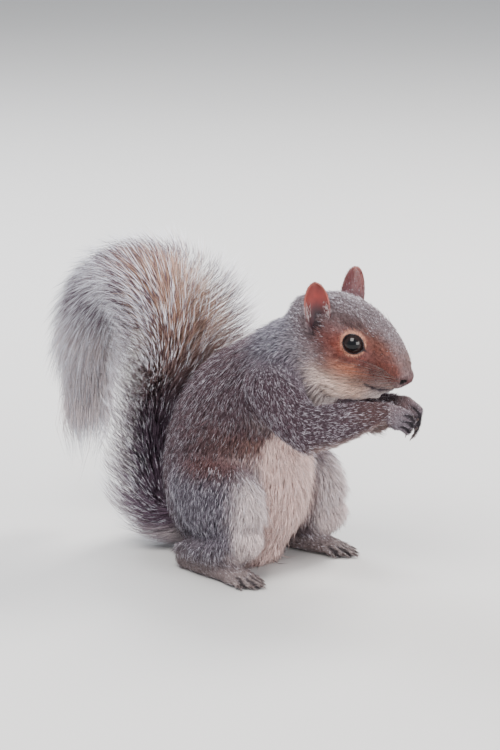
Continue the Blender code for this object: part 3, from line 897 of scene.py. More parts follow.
def clump_pull(places, spacing, pull):
    """For each root, the way to the middle of its clump, and the clump's number."""
    seeds = np.arange(0, len(places), spacing)
    tree = KDTree(len(seeds))
    for k, seed in enumerate(seeds):
        tree.insert(places[seed], k)
    tree.balance()
    nearest = np.array([tree.find(place)[1] for place in places])
    return (places[seeds[nearest]] - places) * pull, nearest, len(seeds)


def short_coat(name, root):
    """The hairs of one piece of the coat, from what was read at their roots."""
    total = len(root["length"])
    pull, clump, clumps = clump_pull(root["place"], 5, 0.62)
    clump_tone = rng.random(clumps)[clump]
    clump_lift = rng.normal(0, 1, clumps)[clump]
    clump_turn = rng.normal(0, 0.14, clumps)[clump]
    across = np.cross(root["lie"], root["normal"])
    turn = clump_turn + rng.normal(0, 0.12, total)
    way = unit(root["lie"] + across * turn[:, None])
    across = unit(np.cross(way, root["normal"]))
    long = root["length"] * MM * rng.uniform(0.7, 1.2, total)
    lift = 0.85 + 0.18 * clump_lift + rng.normal(0, 0.18, total)
    rise = root["depth"] * MM * np.clip(lift, 0.3, 1.6)
    guard = rng.random(total) < GUARD_HAIRS
    long, rise = np.where(guard, 1.2 * long, long), np.where(guard, 1.4 * rise, rise)
    place = root["place"] - root["normal"] * 0.25 * MM
    rings = []
    for t in (0.0, 0.5, 1.0):
        lifted = root["normal"] * (rise * (1 - (1 - t) ** 2.2))[:, None]
        ring = place + way * (long * t)[:, None] + lifted + pull * t
        ring[:, 2] = np.maximum(ring[:, 2], HAIR_LOWEST)
        rings.append(ring)
    values = {"pick": 0.45 * clump_tone + 0.55 * rng.random(total), "other": rng.random(total),
              "hue": root["hue"], "frost": root["frost"], "dusk": root["dusk"]}
    wide = root["width"] * MM * rng.uniform(0.75, 1.2, total)
    return needle_mesh(name, rings, across, root["normal"], wide, values, root["map"])


zone = roots["zone"]
side = np.sign(body_axes(roots["place"])[:, 1])
head_left = head_axes(roots["place"])[:, 1]
back_from_nose = head_axes(roots["place"])[:, 0]
in_front = (roots["normal"][:, 0] > 0.1) & (body_axes(roots["place"])[:, 0] > 5)
PIECES = {
    "coat_face_right": (zone == 0) & (back_from_nose < 36) & (head_left <= 0),
    "coat_face_left": (zone == 0) & (back_from_nose < 36) & (head_left > 0),
    "coat_crown": (zone == 0) & (back_from_nose >= 36),
    "coat_neck": zone == 1,
    "coat_back": (zone == 2) & ~in_front,
    "coat_belly": (zone == 2) & in_front,
    "coat_arm_right": ((zone == 3) | (zone == 4)) & (side < 0),
    "coat_arm_left": ((zone == 3) | (zone == 4)) & (side >= 0),
    "coat_forepaws": zone == 5,
    "coat_thigh_right": ((zone == 6) | (zone == 7)) & (side < 0),
    "coat_thigh_left": ((zone == 6) | (zone == 7)) & (side >= 0),
    "coat_hind_feet": zone == 8,
}
coat = {name: short_coat(name, {key: values[picked] for key, values in roots.items()})
        for name, picked in PIECES.items()}
for name, obj in coat.items():
    print(name, len(obj.data.polygons), "triangles")

# %% [markdown]
# ## The tail
# Under its hair a squirrel's tail is a thin rod of bone and skin. It could be left out, as the
# hair hides it, but the hairs need something to root in and the gaps between them something
# to show. The rod follows a path, so Geometry Nodes sweep a ring along it. The same small
# tree will serve for the whiskers and claws, which are tapered rods as well.

# %% A tree that sweeps a ring along paths
def sweep_tree():
    """Turns loose lines into closed rods, as thick as the lines' own radius says."""
    tree = bpy.data.node_groups.new("rod_along_path", "GeometryNodeTree")
    face = tree.interface
    for name, kind in (("Geometry", "Geometry"), ("Thickness", "Float"), ("Sides", "Int"),
                       ("Surface", "Material")):
        face.new_socket(name, in_out="INPUT", socket_type="NodeSocket" + kind)
    face.new_socket("Geometry", in_out="OUTPUT", socket_type="NodeSocketGeometry")
    node = tree.nodes.new
    start, end = node("NodeGroupInput"), node("NodeGroupOutput")
    line = node("GeometryNodeMeshToCurve")
    own, times = node("GeometryNodeInputNamedAttribute"), node("ShaderNodeMath")
    ring, tube = node("GeometryNodeCurvePrimitiveCircle"), node("GeometryNodeCurveToMesh")
    realize, paint = node("GeometryNodeRealizeInstances"), node("GeometryNodeSetMaterial")
    own.inputs["Name"].default_value = "girth"
    times.operation = "MULTIPLY"
    ring.inputs["Radius"].default_value = 1.0
    tube.inputs["Fill Caps"].default_value = True
    link = tree.links.new
    for source, output, target, socket in (
            (start, "Geometry", line, "Mesh"), (own, "Attribute", times, 0),
            (start, "Thickness", times, 1), (times, "Value", tube, "Scale"),
            (start, "Sides", ring, "Resolution"), (line, "Curve", tube, "Curve"),
            (ring, "Curve", tube, "Profile Curve"), (tube, "Mesh", realize, "Geometry"),
            (realize, "Geometry", paint, "Geometry"), (start, "Surface", paint, "Material"),
            (paint, "Geometry", end, "Geometry")):
        link(source.outputs[output], target.inputs[socket])
    return tree


SWEEP = sweep_tree()


def rods(name, paths, surface, thickness=1.0, sides=8):
    """Closed rods along paths. Each path is a list of (point, radius), both in metres."""
    verts, edges, radii = [], [], []
    for path in paths:
        first = len(verts)
        verts += [tuple(point) for point, _ in path]
        radii += [radius for _, radius in path]
        edges += [(first + k, first + k + 1) for k in range(len(path) - 1)]
    mesh = bpy.data.meshes.new(name)
    mesh.from_pydata(verts, edges, [])
    add_value(mesh, "girth", np.array(radii))
    obj = new_object(name, mesh)
    modifier = obj.modifiers.new("sweep", "NODES")
    modifier.node_group = SWEEP
    given = {"Thickness": thickness, "Sides": sides, "Surface": surface}
    for item in SWEEP.interface.items_tree:
        if item.name in given and item.in_out == "INPUT":
            modifier[item.identifier] = given[item.name]
    baked(obj)
    obj.data.shade_smooth()
    return obj


print("the tree has", len(SWEEP.nodes), "nodes")

# %% [markdown]
# ## The tail's path and its cloud of hair
# The tail is described by a few stations on its middle line. Each says how far the hair
# reaches to the sides and to the front and back there, and how far its sides sweep forward
# round the body. A smooth curve is drawn through the stations.

# %% The tail's stations
# Ahead, up, reach to the side, reach to front and back, sweep forward, all in millimetres.
TAIL = [
    (-30, 22, 14, 12, 0),
    (-44, 13.5, 26, 16, 2),
    (-57, 23, 36, 19, 4),
    (-62, 46, 42, 19, 5),
    (-60, 68, 45, 18, 7),
    (-57, 89, 48, 19, 13),
    (-53, 110, 53, 21, 25),
    (-56, 130, 54, 24, 24),
    (-67, 145, 47, 25, 11),
    (-82, 146, 41, 24, 4),
    (-95, 136, 38, 21, 2),
    (-105, 117, 36, 18, 1),
    (-110, 95, 32, 15, 0),
    (-112, 71, 18, 10, 0),
]
PER_SPAN = 12


def smooth_path(rows, per_span):
    """A Catmull-Rom curve through rows of numbers."""
    rows = np.array(rows, float)
    rows = np.vstack([2 * rows[0] - rows[1], rows, 2 * rows[-1] - rows[-2]])
    made = []
    for before, start, end, after in zip(rows, rows[1:], rows[2:], rows[3:]):
        for t in np.arange(per_span) / per_span:
            made.append(0.5 * (2 * start + (end - before) * t
                               + (2 * before - 5 * start + 4 * end - after) * t**2
                               + (3 * start - before - 3 * end + after) * t**3))
    return np.array(made + [rows[-2]])


tail_rows = smooth_path(TAIL, PER_SPAN)
tail_middle = np.array([body_place(ahead, 0, up) for ahead, up in tail_rows[:, :2]])
tail_way = unit(np.gradient(tail_middle, axis=0))
tail_across = np.tile([0.0, 1.0, 0.0], (len(tail_rows), 1))
tail_inner = np.cross(tail_across, tail_way)
steps = np.linalg.norm(np.diff(tail_middle, axis=0), axis=1)
tail_run = np.append(0, np.cumsum(steps)) / steps.sum()
print("the tail's middle line is", round(steps.sum() / MM), "mm long")


def on_tail(run, values):
    """Values of the tail's path read at shares of its length."""
    return np.array([np.interp(run, tail_run, column) for column in values.T]).T


def tail_cloud(run, turn, share):
    """A point of the cloud of hair: how far along, which way round, and how far out."""
    row = on_tail(run, tail_rows)
    wide, deep, bow = (row[:, k] * MM for k in (2, 3, 4))
    outward = on_tail(run, tail_across) * (wide * np.cos(turn))[:, None]
    outward += on_tail(run, tail_inner) * (deep * np.sin(turn) + bow * np.cos(turn) ** 2)[:, None]
    return on_tail(run, tail_middle) + outward * np.reshape(share, (-1, 1))


# %% [markdown]
# ## Tail hair
# Each hair roots in the rod, leaves it sideways and sweeps towards the tip of the tail. It is
# banded: tan at the root, then brown and nearly black, and white at the end. The pale tips
# make the bright edge that a squirrel's tail has. Short hairs fill the middle.

# %% Grow the tail hair
TAIL_HAIRS = 34000
SHORT_HAIRS = 0.36  # the share that only fills the middle
OFF_THE_BACK = 2.0 * MM  # where a tip that would reach into the body is put instead
BEND = 0.53  # the share of the tail's length at which it arches over
TAN, DUSKY, MIXED = tone(204, 168, 150), tone(106, 88, 104), tone(220, 208, 210)
TIP_REACH = 170  # how far the last hairs run on past the tip, in millimetres per share
LAST_REACH = 14  # and how much further the ones nearest the tip reach, in millimetres
TAIL_ROD = (5.5, 2.4)  # its radius at the root and at the tip, in millimetres
TAIL_WIDEST = cad_box[1][1] + 6 * MM  # no hair spreads further to the side than this


def tail_hair(name, start, end, count):
    """The hairs that root between two shares of the tail's length."""
    run = np.sort(rng.uniform(start, end, count))
    turn = rng.uniform(0, 2 * math.pi, count)
    arched = np.exp(-(((run - BEND) / 0.13) ** 2))
    rising = 1 - ease(run, 0.36, 0.5)
    edge = ease(np.abs(np.cos(turn)), 0.5, 0.92) * (1 - 0.75 * rising)
    behind = ease(-np.sin(turn), 0.1, 0.7) * rising  # the fringe down the back of the rise
    outer = ease(np.sin(turn), 0.2, 0.6)  # on the side that faces the back, then the sky
    short = rng.random(count) < SHORT_HAIRS + 0.34 * outer * arched
    long_share = 1.06 - rng.uniform(0, 0.34, count) * (1 - 0.5 * arched)
    share = np.where(short, rng.uniform(0.3, 0.6, count), long_share)
    share = share * (1 + (0.14 * arched * np.abs(np.sin(turn)) + 0.22 * behind) * ~short)
    drift = (0.10 - 0.07 * arched - 0.04 * rising + 0.04 * rng.random(count)) * share
    ends = np.clip(run + drift, 0, 1)
    past = np.clip(run + drift - 1, 0, None)
    rod = np.interp(run, (0, 1), TAIL_ROD) * MM
    outward = unit(tail_cloud(run, turn, np.ones(count)) - on_tail(run, tail_middle))
    root = on_tail(run, tail_middle) + outward * (rod * 0.8)[:, None]
    tip = tail_cloud(ends, turn, share * (1 - 3 * past) * (1 - 0.5 * ease(run, 0.82, 0.99)))
    pull, clump, clumps = clump_pull(tip, 5, 0.4)
    stretch = 0.3 + 0.7 * rng.random(clumps)[clump] + 0.6 * rng.random(count) ** 2
    onward = (past * TIP_REACH + LAST_REACH * ease(run, 0.84, 0.98)) * stretch
    tip = tip + on_tail(ends, tail_way) * (onward * MM)[:, None]
    stray = 1.0 + 1.5 * (run > 0.8) + 0.8 * arched
    tip = tip + pull + rng.normal(0, 1.0 * MM, (count, 3)) * stray[:, None]
    tip[:, 1] = np.clip(tip[:, 1], -TAIL_WIDEST, TAIL_WIDEST)
    fits = np.clip((root[:, 2] - 1.0 * MM) / np.maximum(root[:, 2] - tip[:, 2], 1e-6), 0.3, 1)
    tip = root + (tip - root) * np.where(tip[:, 2] < 1.0 * MM, fits, 1)[:, None]
    reach = np.linalg.norm(tip - root, axis=1)
    bend = root + outward * (0.55 * reach)[:, None]
    bend = bend + on_tail(run, tail_way) * (0.12 * reach)[:, None]
    behind_rise = body_place(-60, 0, 0)[0]
    for k in range(count):
        nearest, normal, _, _ = SKIN_TREE.find_nearest(Vector(tip[k]))
        in_body = (Vector(tip[k]) - nearest).dot(normal) < 1.5 * MM
        if in_body and tip[k, 0] > behind_rise:
            tip[k] = nearest + normal * OFF_THE_BACK
    rings = [root * (1 - t) ** 2 + bend * 2 * t * (1 - t) + tip * t * t
             for t in (0.0, 0.33, 0.68, 1.0)]
    for ring in rings:
        ring[:, 2] = np.maximum(ring[:, 2], TAIL_LOWEST)
    across = unit(np.cross(outward, on_tail(run, tail_way)))
    wide = np.where(short, 0.42, 0.34 + 0.1 * arched) * MM * rng.uniform(0.7, 1.25, count)
    hue = laid(np.tile(DUSKY, (count, 1)), TAN, np.clip(1.15 * arched, 0, 1))
    hue = laid(hue, MIXED, 0.6 * behind)
    hue = laid(hue, MIXED, ease(run, 0.66, 0.8) * (1 - arched))
    pale = 0.2 + 0.75 * edge + 0.7 * ease(run, 0.54, 0.64) + 0.75 * behind + 0.6 * arched
    white = (rng.random(count) < pale) & ~short
    values = {"pick": 0.4 * rng.random(clumps)[clump] + 0.6 * rng.random(count),
              "other": rng.random(count), "white": white.astype(float), "hue": hue,
              "dusk": 0.95 - 0.75 * ease(run, 0.64, 0.8) - 0.45 * rising}
    places = np.stack([run * 0.9 + 0.05, turn / (2 * math.pi) * 0.9 + 0.05], axis=1)
    return needle_mesh(name, rings, across, outward, wide, values, places)


SKIN_TREE = BVHTree.FromPolygons([tuple(p) for p in skin_points],
                                 [tuple(face) for face in triangles_of(skin.data)[0]])
TAIL_LENGTHS = {"tail_hair_root": (0.0, 0.27, 0.22), "tail_hair_rise": (0.27, 0.5, 0.26),
                "tail_hair_bend": (0.5, 0.74, 0.3), "tail_hair_tip": (0.74, 0.99, 0.24)}
tail_coat = {name: tail_hair(name, start, end, int(TAIL_HAIRS * part))
             for name, (start, end, part) in TAIL_LENGTHS.items()}
for name, obj in tail_coat.items():
    print(name, len(obj.data.polygons), "triangles")

# %% [markdown]
# ## Ears
# A squirrel's ear is a thin upright leaf of skin, cupped forward, with a hollow low down, which
# is painted dark as shade, and a rolled front edge. It is almost bare inside, so light shines
# through it. It starts as a grid that is bent into a cup, and a Solidify modifier gives it its
# thin wall.

# %% Shape the ears
EAR_MIDDLE = {"right": (61.7, 19.8, 6.2), "left": (60.2, 19.8, 6.8)}
EAR_HALF_WIDTH, EAR_LOW, EAR_HIGH = 6.9, -14.0, 13.2  # in millimetres
# How far out from straight ahead each ear's opening looks. The left ear is turned back.
EAR_FACES = {"right": math.radians(58), "left": math.radians(90)}
EAR_SPREAD = math.radians(9)
EAR_WALL = 0.75
EAR_ACROSS, EAR_UP = 27, 33


def ear_turn(word):
    side = SIDES[word]
    turn = Matrix.Rotation(-side * EAR_SPREAD, 4, "X")
    turn = turn @ Matrix.Rotation(HEAD_TURN + side * EAR_FACES[word], 4, "Z")
    return np.array((turn @ Matrix.Rotation(math.pi / 2, 4, "Z")).to_3x3())


def ear_point(across, up, side):
    """A point of the cupped leaf: across is -1 to 1, up is 0 at the base and 1 at the tip."""
    top = max(0.0, (up - 0.38) / 0.62)
    half = EAR_HALF_WIDTH * (0.64 + 0.36 * math.sin(min(up / 0.42, 1) * math.pi / 2))
    half *= (1 - top**2.3) ** 0.55
    cup = 1.6 + 3.4 * (1 - up) ** 1.2
    deep = cup * (1 - across**2) - 0.5
    inward = across * side > 0  # the edge nearer the forehead
    roll = max(0.0, abs(across) - 0.72) / 0.28
    curl = 0.9 * roll**2 * (1 - top) * (1.3 if inward else 0.7)
    back = -1.4 * up**2 + 1.1 * math.sin(up * math.pi) * 0.5
    return (across * (half - curl * 0.5), deep - curl + back, EAR_LOW + (EAR_HIGH - EAR_LOW) * up)


def make_ear(word):
    side = SIDES[word]
    back, out, rise = EAR_MIDDLE[word]
    turn, middle = ear_turn(word), head_place(back, side * out, rise)
    acrosses = np.sin(np.linspace(-1, 1, EAR_ACROSS) * math.pi / 2)
    ups = 1 - (1 - np.linspace(0, 1, EAR_UP)) ** 1.25
    ups[-1] = 0.998
    verts = [middle + turn @ np.array(ear_point(across, up, side)) * MM
             for up in ups for across in acrosses]
    faces = [(r * EAR_ACROSS + k, r * EAR_ACROSS + k + 1, (r + 1) * EAR_ACROSS + k + 1,
              (r + 1) * EAR_ACROSS + k) for r in range(EAR_UP - 1) for k in range(EAR_ACROSS - 1)]
    mesh = bpy.data.meshes.new("ear_skin_" + word)
    mesh.from_pydata([tuple(v) for v in verts], [], faces)
    grid_across = np.tile(acrosses, EAR_UP)
    grid_up = np.repeat(ups, EAR_ACROSS)
    add_value(mesh, "up", grid_up)
    add_value(mesh, "across", grid_across)
    add_value(mesh, "edge", np.maximum(np.abs(grid_across) ** 4, ease(grid_up, 0.88, 1.0)))
    add_value(mesh, "hollow", np.exp(-((grid_across * 1.7) ** 2) - ((grid_up - 0.26) / 0.22) ** 2))
    obj = new_object("ear_skin_" + word, mesh)
    wall = obj.modifiers.new("wall", "SOLIDIFY")
    wall.thickness = EAR_WALL * MM
    wall.offset = 0.0
    rounded = obj.modifiers.new("round", "SUBSURF")
    rounded.levels = rounded.render_levels = 1
    baked(obj)
    opening = turn @ np.array([0.0, -1.0, 0.0])
    add_value(obj.data, "inside", ease(normals_of(obj.data) @ opening, -0.2, 0.2))
    obj.data.shade_smooth()
    unwrap(obj, 80)
    return obj


ears = {word: make_ear(word) for word in SIDES}
for word, ear in ears.items():
    print(ear.name, len(ear.data.polygons), "faces")

# %% [markdown]
# ## Down on the ears
# The backs of the ears are furred, and a fringe of pale down stands along the edges. The
# needles are the coat's own, only shorter and finer.

# %% Fur the ears
def read_value(mesh, name):
    return read_rows(mesh.attributes[name].data, "value", 1)[:, 0].astype(float)


def ear_coat(word):
    mesh = ears[word].data
    points, normals = points_of(mesh), normals_of(mesh)
    up, edge, inside = (read_value(mesh, name) for name in ("up", "edge", "inside"))
    count = len(points)
    rise = ear_turn(word) @ np.array([0.0, 0.0, 1.0])
    outer = 1 - inside
    hue = laid(np.tile(tone(116, 96, 104), (count, 1)), tone(114, 60, 60), ease(up, 0.3, 0.7))
    hue = laid(hue, tone(196, 182, 182), inside * 0.8)
    near_rim = ease(np.abs(read_value(mesh, "across")), 0.35, 0.7)
    per_square_mm = 4.0 * outer * (1 - 0.6 * up)
    per_square_mm += 3.0 * inside * near_rim * (1 - ease(up, 0.4, 0.6))
    per_square_mm = per_square_mm * ease(up, 0.12, 0.3) * (up < 0.93)
    values = {"place": points, "normal": normals, "lie": np.tile(rise, (count, 1)),
              "length": 1.7 + 1.2 * (1 - up), "width": np.full(count, 0.2),
              "depth": 0.45 + 0.4 * edge, "hue": hue, "frost": np.full(count, 0.35),
              "dusk": 0.35 * outer}
    return short_coat("coat_ear_" + word, scatter(mesh, per_square_mm, values))


coat.update({"coat_ear_" + word: ear_coat(word) for word in SIDES})
for word in SIDES:
    print("ear", word, "has", len(coat["coat_ear_" + word].data.polygons), "triangles of down")

# %% [markdown]
# ## Eyes
# The eye looks black: the iris is dark brown round a wide pupil, under a clear wet dome. Each
# is a ball whose front bulges a little. A dark moist rim lines the lids, longer at the front
# where the tear corner is. It is a ring swept along the opening of the lids.

# %% Make the eyeballs and their rims
EYE_SEGMENTS, EYE_RINGS = 56, 40
IRIS = math.radians(44)


def make_eye(word):
    eye = EYES[word]
    bm = bmesh.new()
    bmesh.ops.create_uvsphere(bm, u_segments=EYE_SEGMENTS, v_segments=EYE_RINGS, radius=1)
    turn = np.array([eye.ahead, np.cross(eye.look, eye.ahead), eye.look]).T
    mesh = bpy.data.meshes.new("eyeball_" + word)
    bm.to_mesh(mesh)
    bm.free()
    local = points_of(mesh)
    off = np.arccos(np.clip(local[:, 2], -1, 1))
    bulge = 1 + 0.05 * (1 - ease(off, 0, IRIS * 1.3))
    set_points(mesh, eye.centre + (local @ turn.T) * (EYE_RADIUS * bulge)[:, None])
    add_value(mesh, "off", off)
    mesh.shade_smooth()
    return new_object("eyeball_" + word, mesh)


def lid_path(word):
    eye = EYES[word]
    ways = np.linspace(-math.pi, math.pi, 73)
    offs = eye.opening(ways)
    return [(eye.on_ball(off - 0.01, way, EYE_RADIUS + 0.12 * MM), 0.34 * MM)
            for off, way in zip(offs, ways)]


horn = bpy.data.materials.new("dark_horn")
moist = bpy.data.materials.new("moist_rim")
hair_shaft = bpy.data.materials.new("whisker_hair")
eyeballs = {word: make_eye(word) for word in SIDES}
rims = {word: rods("lid_rim_" + word, [lid_path(word)], moist, sides=8) for word in SIDES}
print("two eyes of", 2 * EYE_RADIUS / MM, "mm, each with a rim")

# %% [markdown]
# ## Claws
# Squirrels climb with narrow, hooked claws, four on each forepaw and five on each hind foot.
# Each is a short rod that thins to a point along a bent path, at the end of its digit. The
# digits' ends are worked out in the same way as the solids' own fingers and toes.

# %% Place the claws
def claw_path(tip, step, radius):
    """Six stations of a claw that leaves the digit's tip and hooks down."""
    tip, step = np.array(tip, float), np.array(step, float)
    made = []
    for t in np.linspace(0, 1, 6):
        point = tip + step * (t * 0.95 - 0.15) + np.array([0, 0, -0.7]) * t * t
        point[2] = max(point[2], 0.45)
        made.append((body_place(*point), radius * (1 - 0.9 * t**1.5) * MM))
    return made


def finger_claws(word):
    step = np.array(FINGERS[word][-1]) * (1, SIDES[word], 1)
    return [claw_path(finger_line(word, k)[-1], step, 0.55) for k in range(len(FINGER_LENGTHS))]


def toe_claws(word):
    paths = []
    for k in range(TOE_COUNT):
        base, _, tip = toe_line(word, k)
        step = unit((tip - base)[None])[0] * 3.8
        paths.append(claw_path(tip + np.array([0, 0, 0.6]), step, 0.75))
    return paths


claws = {}
for word in SIDES:
    for start, paths in (("claws_forepaw_", finger_claws), ("claws_hind_foot_", toe_claws)):
        claws[start + word] = rods(start + word, paths(word), horn, sides=8)
print(sum(len(obj.data.polygons) for obj in claws.values()), "faces of claw")

# %% [markdown]
# ## Whiskers
# Whiskers are stiff and dark. They stand in rows on the snout, with two over each eye, and
# curve gently back. Each is a thin rod.

# %% Grow the whiskers
def whisker(root, way, long, droop):
    """A path from a head place, given out to one side, that curves back as it goes."""
    root, way = np.array(root, float), np.array(way, float)
    way = way / np.linalg.norm(way)
    made = []
    for t in np.linspace(0, 1, 9):
        spot_there = root + way * long * t + np.array([0.35, 0, -droop]) * long * 0.5 * t * t
        made.append((head_place(*spot_there), (0.13 * (1 - t) ** 0.8 + 0.012) * MM))
    return made


def whiskers_of(word):
    side = SIDES[word]
    paths = []
    for row in range(4):
        for k in range(5):
            root = (6.5 + 2.0 * k, side * (5.6 + 0.75 * k), -5.5 - 1.7 * row + 0.2 * k)
            way = (0.5 + 0.22 * k, side * (1.15 - 0.08 * row), 0.25 - 0.28 * row)
            paths.append(whisker(root, way, rng.uniform(17, 33), 0.25 + 0.1 * row))
    for k in range(2):
        paths.append(whisker((30 + 3 * k, side * 12.5, 7.0), (0.9, side * 0.8, 0.5),
                             rng.uniform(7, 10), 0.2))
    return paths


whiskers = {word: rods("whiskers_" + word, whiskers_of(word), hair_shaft, sides=5)
            for word in SIDES}
tail_rod_path = [(tail_middle[k], np.interp(tail_run[k], (0, 1), TAIL_ROD) * MM)
                 for k in range(0, len(tail_middle) - 6, 3)]
tail_skin_material = bpy.data.materials.new("tail_skin")
tail_rod = rods("tail_core", [tail_rod_path], tail_skin_material, sides=20)
print("the tail's rod has", len(tail_rod.data.polygons), "faces")

# %% [markdown]
# ## Materials
# Each finish is a small tree of nodes. The hairs' bands come from how far along the hair a
# point is, and from random numbers that each hair carries, so no two look the same. Nothing
# depends on where the camera stands. A few short helpers keep the trees easy to read.

# %% Helpers for node trees
class Finish:
    """A material's node tree, with short words for the nodes that are used again and again."""

    def __init__(self, made, roughness):
        made.use_nodes = True
        self.tree = made.node_tree
        self.shader = self.tree.nodes["Principled BSDF"]
        self.shader.inputs["Roughness"].default_value = roughness
        self.made = made

    def node(self, kind, **settings):
        made = self.tree.nodes.new(kind)
        for key, value in settings.items():
            setattr(made, key, value)
        return made

    def put(self, source, socket):
        if hasattr(source, "links"):
            self.tree.links.new(source, socket)
        elif hasattr(source, "__len__") and len(source) == 3 and len(socket.default_value) == 4:
            socket.default_value = (*source, 1)
        else:
            socket.default_value = source

    def value(self, name):
        return self.node("ShaderNodeAttribute", attribute_name=name).outputs["Fac"]

    def colour(self, name):
        return self.node("ShaderNodeAttribute", attribute_name=name).outputs["Color"]

    def sum(self, operation, *terms):
        made = self.node("ShaderNodeMath", operation=operation)
        for term, socket in zip(terms, made.inputs):
            self.put(term, socket)
        return made.outputs[0]

    def times(self, first, second):
        return self.sum("MULTIPLY", first, second)

    def ramp(self, source, *stops):
        """A curve through stops of (place, grey or colour)."""
        made = self.node("ShaderNodeValToRGB")
        self.put(source, made.inputs["Fac"])
        points = made.color_ramp.elements
        while len(points) < len(stops):
            points.new(0.5)
        for point, (place, shade) in zip(points, stops):
            point.position = place
            point.color = (*np.broadcast_to(shade, 3), 1)
        return made.outputs["Color"]

    def mix(self, share, first, second, blend="MIX"):
        made = self.node("ShaderNodeMix", data_type="RGBA", blend_type=blend)
        self.put(share, made.inputs["Factor"])
        self.put(first, made.inputs[6])
        self.put(second, made.inputs[7])
        return made.outputs[2]

    def tint(self, colour, by):
        return self.mix(1.0, colour, by, "MULTIPLY")

    def noise(self, scale, detail=3.0, stretch=(1, 1, 1)):
        place = self.node("ShaderNodeTexCoord").outputs["Object"]
        mapping = self.node("ShaderNodeMapping")
        mapping.inputs["Scale"].default_value = stretch
        self.put(place, mapping.inputs["Vector"])
        made = self.node("ShaderNodeTexNoise")
        made.inputs["Scale"].default_value = scale
        made.inputs["Detail"].default_value = detail
        self.put(mapping.outputs["Vector"], made.inputs["Vector"])
        return made.outputs["Fac"]

    def bump(self, source, strength, distance):
        made = self.node("ShaderNodeBump")
        made.inputs["Strength"].default_value = strength
        made.inputs["Distance"].default_value = distance
        self.put(source, made.inputs["Height"])
        self.put(made.outputs["Normal"], self.shader.inputs["Normal"])

    def paint(self, colour):
        self.put(colour, self.shader.inputs["Base Color"])
        return self.made


print("node helpers ready")

# %% [markdown]
# ## The coat's finish
# A grey squirrel's hair is agouti: each one is slate at the root, then its own colour, then
# dark, and many end in a pale tip. That mixture is what reads as grizzled grey from afar.

# %% Agouti hair
SILVER = tone(236, 234, 246)


def agouti_finish():
    finish = Finish(bpy.data.materials.new("agouti_coat"), 0.62)
    finish.shader.inputs["Specular IOR Level"].default_value = 0.25
    hue, pick, other = finish.colour("hue"), finish.value("pick"), finish.value("other")
    wander = finish.times(finish.sum("SUBTRACT", other, 0.5), 0.3)
    reach = finish.sum("ADD", finish.value("reach"), wander)
    pale_one = finish.sum("LESS_THAN", pick, finish.value("frost"))
    dusk = finish.value("dusk")
    shade = finish.tint(hue, finish.ramp(reach, (0.0, 0.3), (0.4, 1.0)))
    colour = finish.mix(finish.sum("MULTIPLY_ADD", dusk, 0.75, 0.2), hue, shade)
    dark = finish.tint(hue, (0.20, 0.165, 0.19))
    band = finish.ramp(reach, (0.42, 0.0), (0.55, 1.0), (0.68, 1.0), (0.8, 0.0))
    band_share = finish.times(band, finish.times(dusk, 0.85))
    colour = finish.mix(band_share, colour, dark)
    tip = finish.ramp(reach, (0.68, 0.0), (0.8, 1.0))
    pale = finish.mix(0.57, hue, SILVER)
    colour = finish.mix(finish.times(tip, pale_one), colour, pale)
    dull = finish.times(finish.sum("SUBTRACT", 1.0, pale_one), dusk)
    dull = finish.times(finish.times(tip, dull), 0.42)
    colour = finish.mix(dull, colour, dark)
    lightness = finish.ramp(other, (0.0, 0.66), (1.0, 1.22))
    return finish.paint(finish.tint(colour, lightness))


agouti = agouti_finish()
for obj in coat.values():
    obj.data.materials.append(agouti)
print("agouti finish on", len(coat), "pieces of coat")

# %% [markdown]
# ## The skin's finish
# Between the hairs the skin wears short dense underfur, which is darker, and its colour is
# darkened further as painted shade in the gaps between the hairs. It is bump and streaky noise in
# the markings' own colours. The bare nose pad and lids are finely pebbled.

# %% Underfur and bare skin
def skin_finish():
    finish = Finish(bpy.data.materials.new("underfur"), 0.7)
    finish.shader.inputs["Specular IOR Level"].default_value = 0.25
    hue, bare = finish.colour("hue"), finish.value("bare")
    streaks = finish.noise(1500, 4, (1, 1, 0.35))
    # Darker underfur and painted shade between the hairs: the furred skin keeps only 22 to 85
    # percent of its markings' colour.
    furred = finish.tint(hue, finish.ramp(streaks, (0.3, 0.22), (0.7, 0.85)))
    pebbles = finish.noise(3200, 2)
    naked = finish.tint(hue, finish.ramp(pebbles, (0.3, 0.75), (0.7, 1.15)))
    height = finish.mix(bare, streaks, pebbles)
    finish.bump(height, 0.6, 0.0004)
    return finish.paint(finish.mix(bare, furred, naked))


skin.data.materials.clear()
skin.data.materials.append(skin_finish())
print("skin finished")

# %% [markdown]
# ## The tail's finish
# Tail hair is banded more boldly than the coat: tan, brown, tan again, nearly black, white.

# %% Banded tail hair
def tail_finish():
    finish = Finish(bpy.data.materials.new("banded_tail_hair"), 0.55)
    finish.shader.inputs["Specular IOR Level"].default_value = 0.3
    pick, other = finish.value("pick"), finish.value("other")
    wander = finish.times(finish.sum("SUBTRACT", pick, 0.5), 0.22)
    reach = finish.sum("ADD", finish.value("reach"), wander)
    hue, dusk = finish.colour("hue"), finish.value("dusk")
    black, white = tone(80, 63, 80), tone(236, 237, 248)
    streak = finish.ramp(finish.sum("ADD", reach, finish.times(other, 0.12)),
                         (0.2, 1.0), (0.3, 0.5), (0.38, 0.5), (0.46, 1.0))
    base = finish.tint(hue, streak)
    band = finish.ramp(reach, (0.5, 0.0), (0.6, 1.0))
    tip = finish.ramp(reach, (0.74, 0.0), (0.82, 1.0))
    long_hair = finish.mix(tip, finish.mix(finish.times(band, dusk), base, black), white)
    end = finish.ramp(reach, (0.72, 0.0), (0.92, 1.0))
    dark_end = finish.times(end, finish.sum("GREATER_THAN", other, 0.55))
    plain_hair = finish.mix(finish.times(dark_end, dusk), base, black)
    colour = finish.mix(finish.value("white"), plain_hair, long_hair)
    lightness = finish.ramp(other, (0.0, 0.76), (1.0, 1.15))
    return finish.paint(finish.tint(colour, lightness))


banded = tail_finish()
for obj in tail_coat.values():
    obj.data.materials.append(banded)


